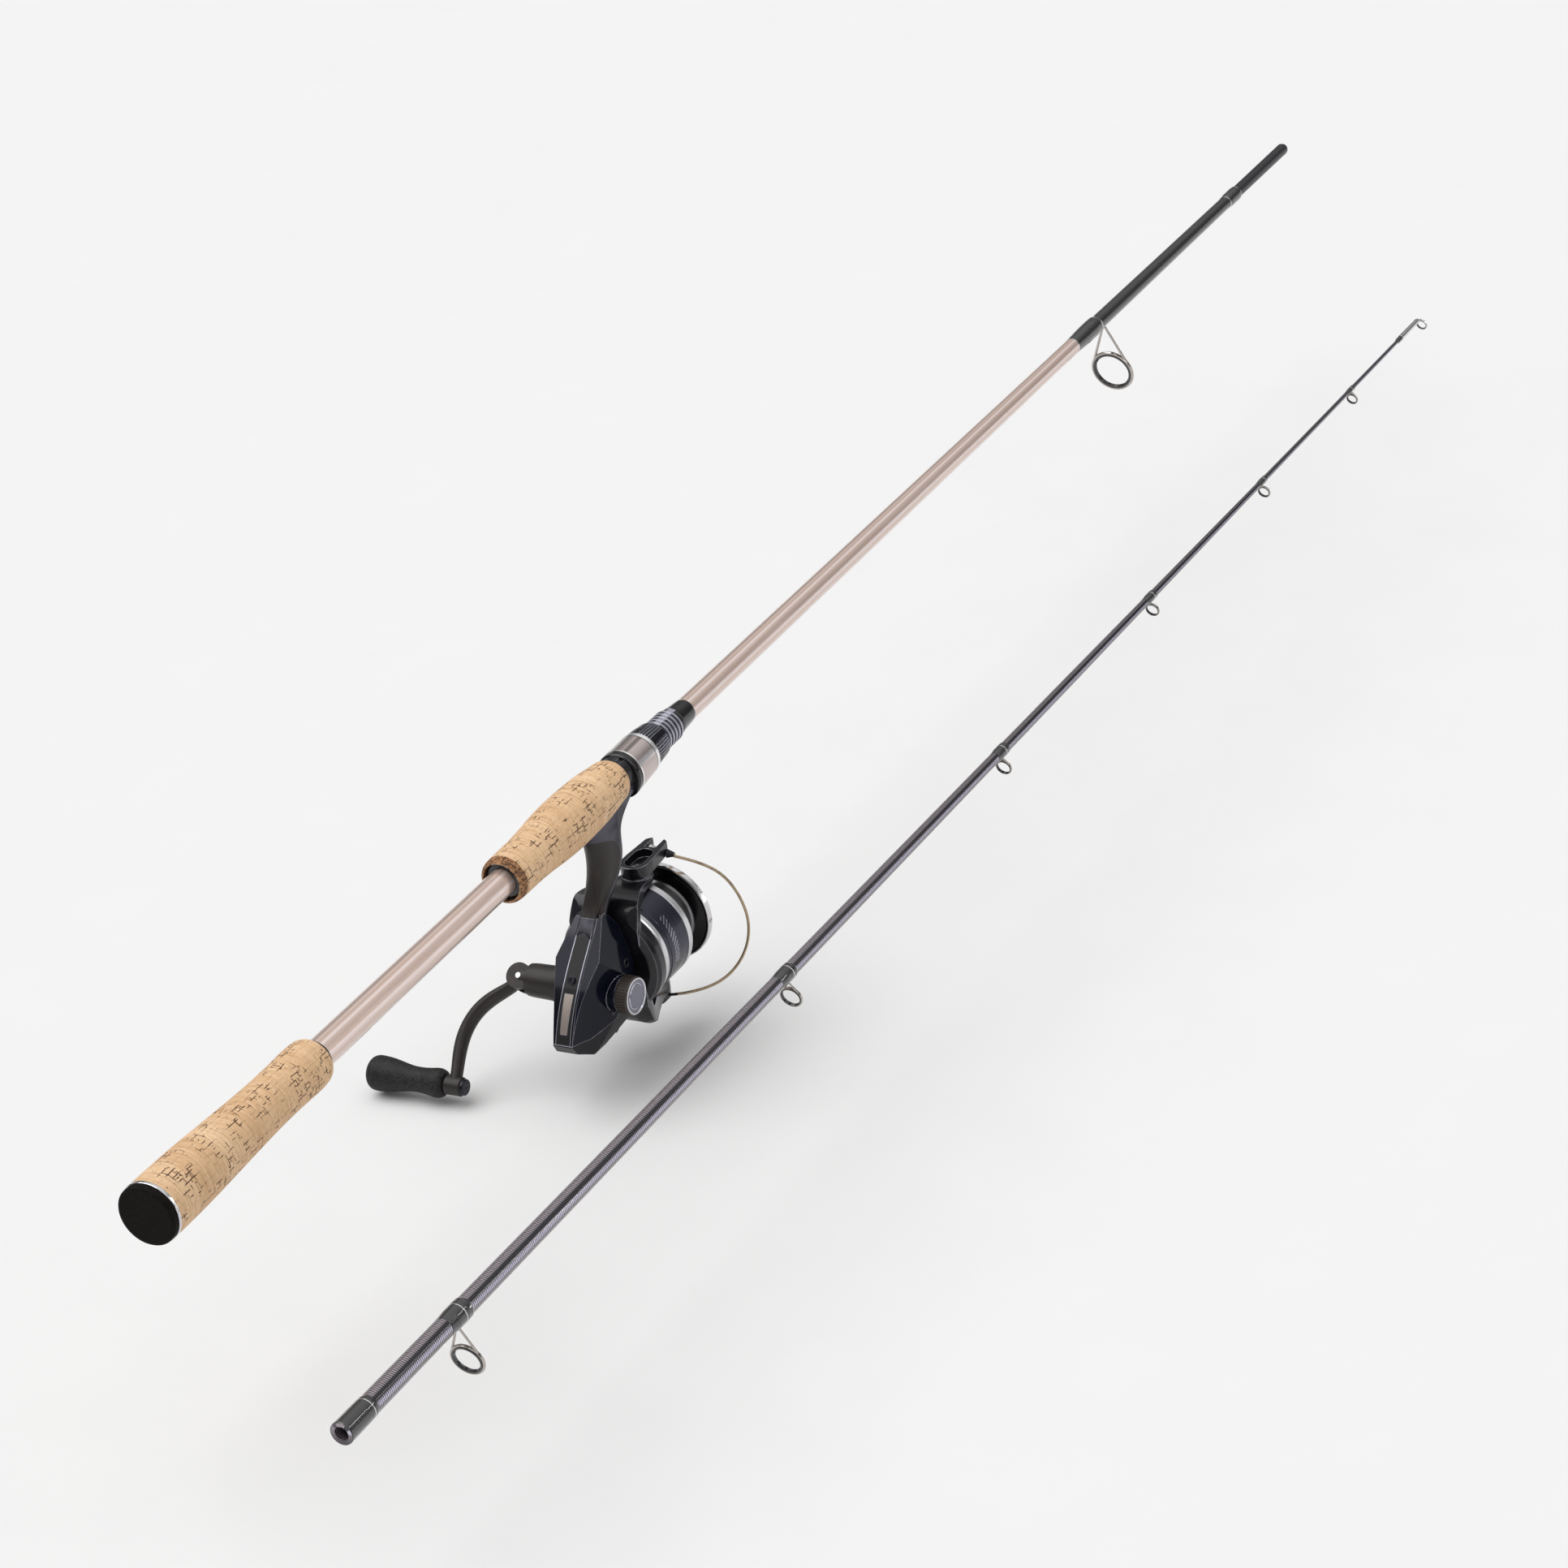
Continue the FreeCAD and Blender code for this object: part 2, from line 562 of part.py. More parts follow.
def panel_recess(depth):
    """The inset panel's form: a skin of the stem's rear, sunk by depth inside a leaf outline."""
    inner = Part.makeLoft([stem_section(z, rear + depth, front + 5.0, half - 0.55 * depth, flat)
                           for z, rear, front, half, flat in STEM_LEVELS], True, False)
    leaf = [Vector(x, 0, z) for x, z in [
        (356.0, -16.5), (369.5, -20.0), (378.0, -25.5), (378.6, -33.0), (374.5, -40.0), (366.0, -47.0),
        (361.0, -53.0), (345.0, -53.0), (345.0, -16.5)]]
    region = prism(leaf, Vector(0, 40, 0), smooth=((0, 6),))
    return region.cut(inner)


def crank_bore(r):
    return Part.makeCylinder(r, 80, Vector(CRANK_X, -40, CRANK_Z), Y_AXIS)


def rear_cut():
    """The lower rear corner of the housing, which is a cover of its own."""
    seam = [(300, -97.5), (330, -102.0), (352, -98.5), (375, -96.0)]
    corner = [Vector(x, 0, z) for x, z in seam + [(375, -130), (300, -130)]]
    return prism(corner, Vector(0, 80, 0))


def housing_parts():
    """The housing's three shells (body with stem and foot, right side cover, lower rear cover) and trim."""
    blank = housing_blank()
    cavity = shrunk(blank, HOUSING_WALL_SHARE)
    shell = blank.cut(cavity)
    right_space = box(300, 400, -60, SIDE_SEAM_Y, -130, -40)
    lower = rear_cut()
    seat_start, seat_end = BEARING_SPAN
    left_boss = tube_y(8.4, BEARING_SEAT_R, seat_start, 14.4)
    right_boss = tube_y(8.8, BEARING_SEAT_R, CAP_INNER_Y + 0.3, -seat_start)
    nose_ends = (360.0, HOUSING_FRONT)
    nose = turned([(x, 12.0) for x in nose_ends], [(x, 8.05) for x in nose_ends], z=SHAFT_Z)
    front_hole = Part.makeCylinder(8.05, 20, Vector(355, 0, SHAFT_Z), X_AXIS)
    body = shell.cut(right_space).cut(lower).fuse(stem_solid().cut(cavity)).fuse(left_boss)
    body = body.fuse(nose.cut(right_space)).cut(front_hole).cut(crank_bore(CRANK_SHAFT_R + 0.4))
    body = body.cut(panel_recess(1.2))
    cover = shell.common(right_space).cut(lower).cut(stem_solid()).fuse(right_boss)
    cover = cover.fuse(nose.common(right_space)).cut(front_hole).cut(crank_bore(CRANK_SHAFT_R + 0.4))
    rear = shell.common(lower)
    inlay_strip = [Vector(300.0, y, z) for y, z in [(-2.3, -79.5), (2.3, -79.5), (1.7, -95.5), (-1.7, -95.5)]]
    strip = Part.Face(outline(inlay_strip)).extrude(Vector(60, 0, 0))
    skin = blank.cut(shrunk(blank, 0.035))
    inlay = skin.common(strip)
    width = seat_end - seat_start
    bearings = [tube_y(BEARING_SEAT_R - 0.02, CRANK_SHAFT_R + 0.03, y, y + width)
                for y in (-seat_end, seat_start)]
    body = body.cut(tube_y(BEARING_SEAT_R, 0, seat_start - 1.0, seat_end))
    cover = cover.cut(tube_y(BEARING_SEAT_R, 0, -seat_end, 1.0 - seat_start))
    body = body.fuse(tube_y(2.9, 0, 9.0, 11.6, OSCILLATION_X, OSCILLATION_Z))
    body = body.cut(tube_y(OSCILLATION_SHAFT_R + 0.05, 0, 7.0, 11.9, OSCILLATION_X, OSCILLATION_Z))
    lever_hole = Part.makeCylinder(1.25, 12.0, Vector(LEVER_AT[0], LEVER_AT[1], LEVER_AT[2] - 5.0), Z_AXIS)
    rear = rear.cut(lever_hole)
    body = body.cut(lever_hole)
    return {
        "reel_body": body.cut(inlay),
        "side_cover": largest(cover.cut(inlay)),
        "rear_cover": rear.cut(inlay),
        "spine_inlay": inlay,
        "stem_panel": panel_recess(1.15).common(stem_solid()),
        "handle_bearings": joined(bearings),
    }


def body_screws():
    """Cross-head screws of the housing: one in the spine, three in the side cover."""
    spine = Vector(333.4, 0, -74.2)
    out = Vector(-0.82, 0, 0.57)
    heads = [(spine, out, 2.0)]
    for x, y, z in ((359.0, -13.2, -77.0), (344.5, -11.9, -95.0), (360.5, -13.0, -98.5)):
        heads.append((Vector(x, y, z), Vector(0, -1, 0), 1.9))
    screws = []
    for point, direction, r in heads:
        head = Part.makeCylinder(r, 3.4, point - direction * 2.4, direction)
        head = edge_rounded(head, 0.35, lambda e: e.Curve.TypeId == "Part::GeomCircle")
        cross = Part.makeBox(2.2, 0.5, 1.2, Vector(-1.1, -0.25, -0.7))
        cross = cross.fuse(Part.makeBox(0.5, 2.2, 1.2, Vector(-0.25, -1.1, -0.7)))
        cross.Placement = FreeCAD.Placement(point + direction * 1.1, Rotation(Z_AXIS, direction))
        screws.append(head.cut(cross))
    return screws


# ---------------------------------------------------------------- reel drive
def drive_gear():
    """The face gear, its hollow shaft for the crank's two halves, and the oscillation drive's small gear."""
    disc = tube_y(GEAR_R, 0, -8.8, GEAR_FACE_Y - 1.1)
    rim_x = CRANK_X + GEAR_R
    teeth = []
    for i in range(GEAR_TEETH):
        tooth = box(rim_x - 2.6, rim_x - 0.1, GEAR_FACE_Y - 1.5, GEAR_FACE_Y, CRANK_Z - 0.3, CRANK_Z + 0.3)
        teeth.append(turned_about(tooth, Vector(CRANK_X, 0, CRANK_Z), Y_AXIS, i * 360.0 / GEAR_TEETH))
    shaft = tube_y(CRANK_SHAFT_R, 0, -15.4, 14.2)
    small = toothed_disc(CRANK_X, CRANK_Z, 5.8, 8.2)
    return disc.fuse(teeth + [shaft, small]).cut(tube_y(1.6, 0, -25, 25))


def toothed_disc(x, z, y0, y1):
    """A small spur gear along Y, its teeth drawn as straight ribs."""
    pitch_r = SMALL_GEAR_R
    disc = tube_y(pitch_r - 0.55, 0, y0, y1, x, z)
    ribs = []
    for i in range(SMALL_TEETH):
        rib = box(x + pitch_r - 1.0, x + pitch_r + 0.2, y0, y1, z - 0.32, z + 0.32)
        ribs.append(turned_about(rib, Vector(x, 0, z), Y_AXIS, i * 360.0 / SMALL_TEETH))
    return disc.fuse(ribs)


def oscillation_gear():
    """The gear whose pin drives the slider; its shaft turns in a boss of the housing's left wall."""
    gear = toothed_disc(OSCILLATION_X, OSCILLATION_Z, 5.8, 7.8)
    shaft = tube_y(OSCILLATION_SHAFT_R, 0, 7.0, 11.4, OSCILLATION_X, OSCILLATION_Z)
    pin = tube_y(0.8, 0, 3.8, 6.2, OSCILLATION_X + OSCILLATION_PIN[0], OSCILLATION_Z + OSCILLATION_PIN[1])
    return gear.fuse([shaft, pin])


def handle_collar():
    """The crank's round shank: a dust cap by the housing, a barrel, and a fork for the folding arm."""
    profile = [(15.0, 8.9), (16.0, 9.2), (18.2, 9.1), (18.6, 8.3), (30.5, 8.0), (33.5, 7.7)]
    barrel = turned(profile + [(33.5, 6.9)])
    barrel.rotate(Vector(0, 0, 0), Z_AXIS, 90)
    barrel.translate(Vector(CRANK_X, 0, CRANK_Z))
    eye = Part.makeCylinder(6.2, 11.6, fold_point() - fold_axis() * 5.8, fold_axis())
    neck = tube_y(6.2, 0, FOLD_Y - 5.5, FOLD_Y - 0.5)
    gap_lug = Part.makeCylinder(9.0, 5.4, fold_point() - fold_axis() * 2.7, fold_axis())
    pin_hole = Part.makeCylinder(1.55, 20, fold_point() - fold_axis() * 10, fold_axis())
    stub = tube_y(1.5, 0, 4.0, 15.1)
    return barrel.fuse(neck).fuse(eye).cut(gap_lug).cut(pin_hole).fuse(stub)


def crank_out():
    """Unit vector from the crank axis towards the knob."""
    return Vector(math.cos(CRANK_ANGLE), 0, math.sin(CRANK_ANGLE))


def fold_point():
    return Vector(CRANK_X, FOLD_Y, CRANK_Z)


def fold_axis():
    """The fold pin's line, square to the crank axis and to the arm."""
    return crank_out().cross(Y_AXIS)


def crank_point(reach, y):
    return Vector(CRANK_X, y, CRANK_Z) + crank_out() * reach


def oval(point, tangent, half_wide, half_thick):
    """An oval section square to the arm's run; its wide way is along the fold pin."""
    wide = fold_axis()
    ellipse = Part.Ellipse(Vector(0, 0, 0), half_wide, half_thick).toShape()
    wire = Part.Wire([ellipse])
    across = tangent.cross(wide)
    wire.Placement = FreeCAD.Placement(point, Rotation(wide, across, tangent))
    return wire


def crank_arm():
    """The bent arm: a lug between the fork's cheeks, an oval arm bowed outwards and the knob's boss."""
    run = [(3.0, 41.0, 4.4, 2.5), (9.0, 48.0, 4.5, 3.0), (17.0, 56.0, 4.3, 3.2), (27.0, 60.6, 4.0, 3.2),
           (40.0, 61.3, 3.6, 3.1), (CRANK_RADIUS, 59.8, 3.4, 3.0)]
    sections = []
    for i, (reach, y, half_wide, half_thick) in enumerate(run):
        before, after = run[max(i - 1, 0)], run[min(i + 1, len(run) - 1)]
        tangent = (crank_point(after[0], after[1]) - crank_point(before[0], before[1])).normalize()
        sections.append(oval(crank_point(reach, y), tangent, half_wide, half_thick))
    arm = Part.makeLoft(sections, True, False)
    lug = Part.makeCylinder(4.9, 4.6, fold_point() - fold_axis() * 2.3, fold_axis())
    end = crank_point(CRANK_RADIUS, 0)
    boss = Part.makeCylinder(4.6, 9.0, Vector(end.x, KNOB_BOSS_Y, end.z), Y_AXIS)
    boss = edge_rounded(boss, 0.9, lambda e: e.Curve.TypeId == "Part::GeomCircle")
    pin_hole = Part.makeCylinder(1.55, 20, fold_point() - fold_axis() * 10, fold_axis())
    spindle_hole = Part.makeCylinder(2.1, 40, Vector(end.x, KNOB_BOSS_Y - 5, end.z), Y_AXIS)
    keep_out = Part.makeCylinder(6.5, 3.5, fold_point() + fold_axis() * 2.32, fold_axis())
    keep_out = keep_out.fuse(Part.makeCylinder(6.5, 3.5, fold_point() - fold_axis() * 5.82, fold_axis()))
    return arm.fuse(lug).fuse(boss).cut(pin_hole).cut(spindle_hole).cut(keep_out)


def crank_pin():
    """The bright pin that the arm folds on."""
    pin = Part.makeCylinder(1.5, 12.0, fold_point() - fold_axis() * 6.0, fold_axis())
    return edge_rounded(pin, 0.35, lambda e: e.Curve.TypeId == "Part::GeomCircle")


def knob_spindle():
    """The knob's spindle, with its round head on the inner side of the arm."""
    end = crank_point(CRANK_RADIUS, 0)
    head = Part.makeCylinder(3.9, 1.6, Vector(end.x, KNOB_BOSS_Y - 1.65, end.z), Y_AXIS)
    head = edge_rounded(head, 0.5, lambda e: e.CenterOfMass.y < KNOB_BOSS_Y - 1.6)
    dimple = Part.makeCylinder(1.0, 0.6, Vector(end.x, KNOB_BOSS_Y - 1.7, end.z), Y_AXIS)
    shaft = Part.makeCylinder(2.08, 45.0, Vector(end.x, KNOB_BOSS_Y - 0.1, end.z), Y_AXIS)
    return head.fuse(shaft).cut(dimple)


def handle_knob():
    """The soft barrel knob, waisted towards the arm and swelling to its outer end."""
    y0 = KNOB_BOSS_Y + 9.4
    bore_end = KNOB_BOSS_Y + 45.2
    outer = [(y0, 3.6), (y0 + 0.5, 5.6), (y0 + 3.0, 6.9), (y0 + 7.0, 6.7), (y0 + 13.0, 6.0), (y0 + 20.0, 6.3)]
    outer += [(y0 + 29.0, 7.9), (y0 + 35.0, 8.4), (y0 + 38.5, 7.9), (y0 + 40.5, 5.8), (y0 + 41.0, 3.0)]
    knob = turned(outer, [(y0, 2.14), (bore_end, 2.14), (bore_end, 0.0), (y0 + 41.0, 0.0)], smooth=True)
    knob.rotate(Vector(0, 0, 0), Z_AXIS, 90)
    end = crank_point(CRANK_RADIUS, 0)
    knob.translate(Vector(end.x, 0, end.z))
    return knob


def handle_cap():
    """The knurled screw cap on the right-hand end of the crank shaft."""
    near = -CAP_INNER_Y
    far = near + 6.7
    profile = [(near, 8.6), (near + 0.4, 9.3), (far - 1.1, 9.3), (far - 0.1, 8.6)]
    profile += [(far - 0.1, 7.9), (far - 0.5, 7.6), (far - 0.5, 5.9), (far, 5.6)]
    cap = turned(profile, [(near, 3.0), (near + 3.0, 3.0), (near + 3.0, 0.0), (far, 0.0)])
    cap.rotate(Vector(0, 0, 0), Z_AXIS, -90)
    cap.translate(Vector(CRANK_X, 0, CRANK_Z))
    grooves = []
    for i in range(CAP_GROOVES):
        groove = box(CRANK_X + 9.0, CRANK_X + 10.0, 1.2 - far, -near - 0.5, CRANK_Z - 0.3, CRANK_Z + 0.3)
        grooves.append(turned_about(groove, Vector(CRANK_X, 0, CRANK_Z), Y_AXIS, i * 360.0 / CAP_GROOVES))
    stub = tube_y(1.5, 0, -near - 3.2, -8.0)
    return cap.cut(grooves).fuse(stub)


def pinion_gear():
    """The brass pinion: teeth at the rear, and a sleeve that carries the rotor."""
    bore = MAIN_SHAFT_R + 0.1
    sleeve = turned([(366.0, 3.6), (379.5, 3.6)], [(366.0, bore), (379.5, bore)], z=SHAFT_Z)
    core = turned([(355.0, 2.95), (366.0, 2.95)], [(355.0, bore), (366.0, bore)], z=SHAFT_Z)
    teeth = []
    for i in range(PINION_TEETH):
        tooth = box(355.0, 364.0, -0.4, 0.4, SHAFT_Z + 2.8, SHAFT_Z + 3.6)
        teeth.append(turned_about(tooth, Vector(0, 0, SHAFT_Z), X_AXIS, i * 360.0 / PINION_TEETH))
    return core.fuse(teeth).fuse(sleeve)


def rotor_bearing():
    """The bearing in the housing's nose that carries the pinion and rotor."""
    return turned([(HOUSING_FRONT - 4.0, 8.0), (HOUSING_FRONT - 0.2, 8.0)],
                  [(HOUSING_FRONT - 4.0, 3.66), (HOUSING_FRONT - 0.2, 3.66)], z=SHAFT_Z)


def arm_form(sign, crown):
    """One rotor arm, above the shaft for sign 1, below for -1: crown is its outer (x, radius) outline."""
    under = [(407.5, 25.9), (399.0, 25.7), (389.0, 25.6), (380.0, 25.6), (375.5, 25.2), (372.0, 20.0)]
    under.append((371.2, 12.0))
    side = [(ROTOR_BACK, 12.0), (ROTOR_BACK, 20.0)] + crown + under
    last = len(crown) + 1
    leg = prism([Vector(x, 0, SHAFT_Z + sign * r) for x, r in side], Vector(0, 60, 0),
                smooth=((1, last), (last + 1, last + 6)))
    half = [(360.0, 18.0), (371.0, 17.0), (380.0, 13.2), (390.0, 9.4), (400.0, 7.6), (405.4, 5.6)]
    plan = [(x, -y) for x, y in half] + [(407.8, 0.0)] + half[::-1]
    middle = SHAFT_Z + sign * 25
    shape = prism([Vector(x, y, middle) for x, y in plan], Vector(0, 0, 60), smooth=((0, 4), (4, 8), (8, 12)))
    sweep = [(ROTOR_BACK, 27.0), (368.0, 31.0), (370.0, 34.0), (372.5, 36.0), (377.0, 37.4), (410.0, 37.4)]
    sweep = turned(sweep, z=SHAFT_Z)
    return leg.common(shape).common(sweep)


def rotor():
    """The rotor: a dished back, a hub on the pinion, two arms, and a boss at the tip of each arm."""
    dish = [(ROTOR_BACK, 12.6), (368.6, 12.0), (368.6, 3.6), (371.4, 3.6), (371.4, 22.6), (373.8, 23.2)]
    back = turned([(ROTOR_BACK, 21.5), (367.0, 25.0), (369.4, 26.0), (373.8, 25.8)], dish, z=SHAFT_Z)
    hub = turned([(370.0, 7.0), (378.0, 6.6)], [(370.0, 3.6), (378.0, 3.6)], z=SHAFT_Z)
    upper = arm_form(1, [(368.0, 28.0), (371.5, 31.0), (377.0, 32.0), (385.0, 31.2), (393.0, 29.2),
                         (399.0, ARM_TOP_R), (407.0, ARM_TOP_R)])
    lower = arm_form(-1, [(368.0, 29.5), (371.5, 33.0), (377.0, 34.6), (385.0, 34.8), (392.0, 33.9),
                          (400.0, ARM_LOW_R), (407.0, ARM_LOW_R - 0.8)])
    body = back.fuse([hub, upper, lower])
    for sign, reach in ((1, ARM_TOP_R), (-1, ARM_LOW_R)):
        root = Vector(BAIL_PIVOT_X, 0, SHAFT_Z + sign * (reach - 2.0))
        boss = Part.makeCylinder(7.2, 3.2, root, Vector(0, 0, sign))
        body = body.fuse(boss)
    pivot_hole = Part.makeCylinder(1.55, 120, Vector(BAIL_PIVOT_X, 0, SHAFT_Z - 60), Z_AXIS)
    spool_room = turned([(374.4, 25.5), (408.0, 25.5)], z=SHAFT_Z)
    return body.cut(pivot_hole).cut(spool_room.cut(hub))


def rotor_nut():
    """The nut that holds the rotor on the pinion sleeve."""
    corners = [math.radians(60 * k) for k in range(6)]
    ring = [Vector(378.1, 6.2 * math.cos(a), SHAFT_Z + 6.2 * math.sin(a)) for a in corners]
    nut = Part.Face(outline(ring)).extrude(Vector(2.4, 0, 0))
    return nut.cut(Part.makeCylinder(3.62, 10, Vector(375, 0, SHAFT_Z), X_AXIS))


# ---------------------------------------------------------------- bail
BAIL_TOP_Z = SHAFT_Z + ARM_TOP_R + 1.5
BAIL_LOW_Z = SHAFT_Z - ARM_LOW_R - 1.5
ROLLER_X = BAIL_PIVOT_X + 19.0
ROLLER_Z = BAIL_TOP_Z + 1.0


def bail_arm():
    """The line-roller lever: a slim open frame on the upper rotor arm, with the pivot screw in its floor."""
    plate = rounded_plate(BAIL_PIVOT_X - 7.4, BAIL_PIVOT_X + 23.5, 7.0, BAIL_TOP_Z, BAIL_TOP_Z + 6.0)
    taper = [Vector(x, y, BAIL_TOP_Z + 3) for x, y in [
        (BAIL_PIVOT_X - 8.0, -7.4), (BAIL_PIVOT_X + 2.0, -7.2), (BAIL_PIVOT_X + 24.0, -5.4),
        (BAIL_PIVOT_X + 24.0, 5.4), (BAIL_PIVOT_X + 2.0, 7.2), (BAIL_PIVOT_X - 8.0, 7.4)]]
    frame = plate.common(prism(taper, Vector(0, 0, 12)))
    pocket = rounded_plate(BAIL_PIVOT_X - 5.0, BAIL_PIVOT_X + 12.5, 4.6, BAIL_TOP_Z + 1.6, BAIL_TOP_Z + 7)
    roller_gap = box(ROLLER_X - 4.6, ROLLER_X + 9.0, -3.0, 3.0, BAIL_TOP_Z - 1, BAIL_TOP_Z + 7)
    pin_hole = Part.makeCylinder(1.3, 20, Vector(ROLLER_X, -10, ROLLER_Z), Y_AXIS)
    pivot = Part.makeCylinder(1.5, 6.2, Vector(BAIL_PIVOT_X, 0, BAIL_TOP_Z - 4.4), Z_AXIS)
    head = Part.makeCylinder(3.0, 1.6, Vector(BAIL_PIVOT_X, 0, BAIL_TOP_Z + 1.5), Z_AXIS)
    cross = box(BAIL_PIVOT_X - 1.8, BAIL_PIVOT_X + 1.8, -0.35, 0.35, BAIL_TOP_Z + 2.5, BAIL_TOP_Z + 4)
    cross = cross.fuse(turned_about(cross, Vector(BAIL_PIVOT_X, 0, 0), Z_AXIS, 90))
    return frame.cut(pocket).cut(roller_gap).cut(pin_hole).fuse(pivot).fuse(head).cut(cross)


def line_roller():
    """The plated roller that turns the line on to the spool."""
    outer = [(-2.7, 3.3), (-1.6, 2.7), (0.0, 2.35), (1.6, 2.7), (2.7, 3.3)]
    roller = turned(outer, [(-2.7, 1.32), (2.7, 1.32)])
    roller.rotate(Vector(0, 0, 0), Z_AXIS, 90)
    roller.translate(Vector(ROLLER_X, 0, ROLLER_Z))
    return roller


def bail_wire():
    """The bail wire, with the cone and the roller's pin at its upper end."""
    run = [(ROLLER_X, -9.5, ROLLER_Z - 1.0), (424.5, -17.0, -58.5), (430.5, -25.5, -66.5)]
    run += [(434.0, -32.5, -80.0), (433.0, -36.0, -93.5), (427.5, -35.0, -106.0), (418.5, -28.0, -116.0)]
    run += [(409.5, -17.0, BAIL_LOW_Z - 1.6), (403.0, -6.0, BAIL_LOW_Z - 2.0)]
    points = [Vector(*point) for point in run]
    wire = swept_bar(points, BAIL_WIRE_R)
    pin = Part.makeCylinder(1.28, 11.0, Vector(ROLLER_X, -7.0, ROLLER_Z), Y_AXIS)
    cone = Part.makeCone(2.1, 1.0, 3.6, Vector(ROLLER_X, -6.15, ROLLER_Z - 0.2), Vector(0.16, -1, -0.1))
    return wire.fuse([pin, cone]).cut(bail_lever())


def bail_lever():
    """The flat lever at the wire's far end, which turns on the lower rotor arm."""
    plate = rounded_plate(BAIL_PIVOT_X - 6.8, BAIL_PIVOT_X + 9.0, 6.0, BAIL_LOW_Z - 3.6, BAIL_LOW_Z)
    pivot = Part.makeCylinder(1.5, 7.0, Vector(BAIL_PIVOT_X, 0, BAIL_LOW_Z - 1.5), Z_AXIS)
    return plate.fuse(pivot)


# ---------------------------------------------------------------- spool and drag
def main_shaft():
    """The steel shaft that carries the spool back and forth."""
    start, end = 337.0, SHAFT_END
    outer = [(start, 1.7), (start + 0.6, MAIN_SHAFT_R), (end - 0.6, MAIN_SHAFT_R), (end, 1.6)]
    return turned(outer, z=SHAFT_Z)


def oscillation_slider():
    """The slider on the rear of the main shaft, with the upright slot that the gear's pin runs in."""
    middle = OSCILLATION_X + OSCILLATION_PIN[0]
    block = box(middle - 3.0, middle + 3.0, -4.0, 3.4, SHAFT_Z - 1.9, OSCILLATION_Z + 4.8)
    block = edge_rounded(block, 0.7, lambda e: abs(e.tangentAt(e.FirstParameter).x) > 0.9)
    slot = box(middle - 0.9, middle + 0.9, 2.3, 5.0, SHAFT_Z - 5.0, OSCILLATION_Z + 4.0)
    return block.cut(slot).cut(Part.makeCylinder(MAIN_SHAFT_R, 20, Vector(middle - 10, 0, SHAFT_Z), X_AXIS))


def spool():
    """The spool: a skirt over the rotor, the line well between two flanges, and the drag's cup in front."""
    hub = MAIN_SHAFT_R + 0.05
    lip = SPOOL_LIP_X
    outer = [(375.5, 23.6), (375.5, 24.5), (376.4, SPOOL_R), (378.6, SPOOL_R), (379.0, 24.45), (381.6, 24.45)]
    outer += [(382.0, SPOOL_R), (395.4, SPOOL_R), (395.8, 24.45), (397.6, 24.45), (398.0, SPOOL_R)]
    outer += [(401.0, SPOOL_R), (402.2, 24.2), (402.8, 18.2), (403.4, 17.7), (413.4, 17.4), (414.2, 18.2)]
    outer += [(416.6, 23.4), (416.6, 24.1), (lip - 0.2, 24.1), (lip, 23.6), (lip - 0.6, 19.0)]
    outer.append((lip - 2.4, 16.4))
    inner = [(375.5, 23.2), (394.5, 22.8), (396.0, 21.4), (396.0, 6.0), (390.5, 5.4), (390.5, hub),
             (406.0, hub), (406.0, 15.4), (lip - 2.4, 15.4)]
    return turned(outer, inner, z=SHAFT_Z)


def spool_lip_ring():
    """The bright ring on the spool's front lip."""
    lip = SPOOL_LIP_X
    outer = [(lip - 3.9, 24.5), (lip - 3.6, 25.0), (lip - 1.2, 25.2), (lip - 0.3, 24.7)]
    return turned(outer, [(lip - 3.9, 24.1), (lip - 0.3, 24.1)], z=SHAFT_Z)


def drag_washers():
    """The drag stack in the spool's cup: two metal washers and a fibre one."""
    bore = MAIN_SHAFT_R + FIT
    return joined([turned([(x, 15.1), (x + 0.7, 15.1)], [(x, bore), (x + 0.7, bore)], z=SHAFT_Z)
                   for x in (406.15, 407.1, 408.05)])


def drag_knob():
    """The front drag knob: a round cap with a raised grip bar."""
    lip = SPOOL_LIP_X
    bore = MAIN_SHAFT_R + FIT
    back, front = 409.2, lip + 5.4
    outer = [(back, 14.2), (back + 0.4, 14.7), (lip + 0.4, 14.7), (lip + 3.6, 14.2), (lip + 5.0, 12.8)]
    cap = turned(outer + [(front, 8.0)], [(back, bore), (front, bore)], z=SHAFT_Z)
    bar = box(lip + 4.0, lip + 10.5, -12.2, 12.2, SHAFT_Z - 3.0, SHAFT_Z + 3.0)
    bar = edge_rounded(bar, 1.6, lambda e: e.CenterOfMass.x > lip + 5.0)
    bar = bar.common(turned([(lip + 3.0, 12.6), (lip + 12.0, 11.6)], z=SHAFT_Z))
    shaft_room = Part.makeCylinder(bore, SHAFT_END + 0.3 - back, Vector(back, 0, SHAFT_Z), X_AXIS)
    bumps = []
    for i in range(18):
        groove = Part.makeCylinder(0.7, 4.0, Vector(lip + 0.6, 0, SHAFT_Z + 15.0), X_AXIS)
        bumps.append(turned_about(groove, Vector(0, 0, SHAFT_Z), X_AXIS, i * 20))
    return cap.cut(bumps).fuse(bar).cut(shaft_room)


def anti_reverse_lever():
    """The anti-reverse lever under the housing's nose: a small paddle on a pin in the housing's floor."""
    x, y, top = LEVER_AT
    pin = Part.makeCylinder(1.2, 7.0, Vector(x, y, top - 2.0), Z_AXIS)
    hub = Part.makeCylinder(2.9, 2.6, Vector(x, y, top - 2.6), Z_AXIS)
    paddle = prism([Vector(px, 0, pz) for px, pz in [
        (x - 2.0, top), (x + 2.6, top), (x + 2.6, top - 6.6), (x + 0.4, top - 7.4)]], Vector(0, 2.6, 0))
    return pin.fuse([hub, moved(paddle, 0, y, 0)])


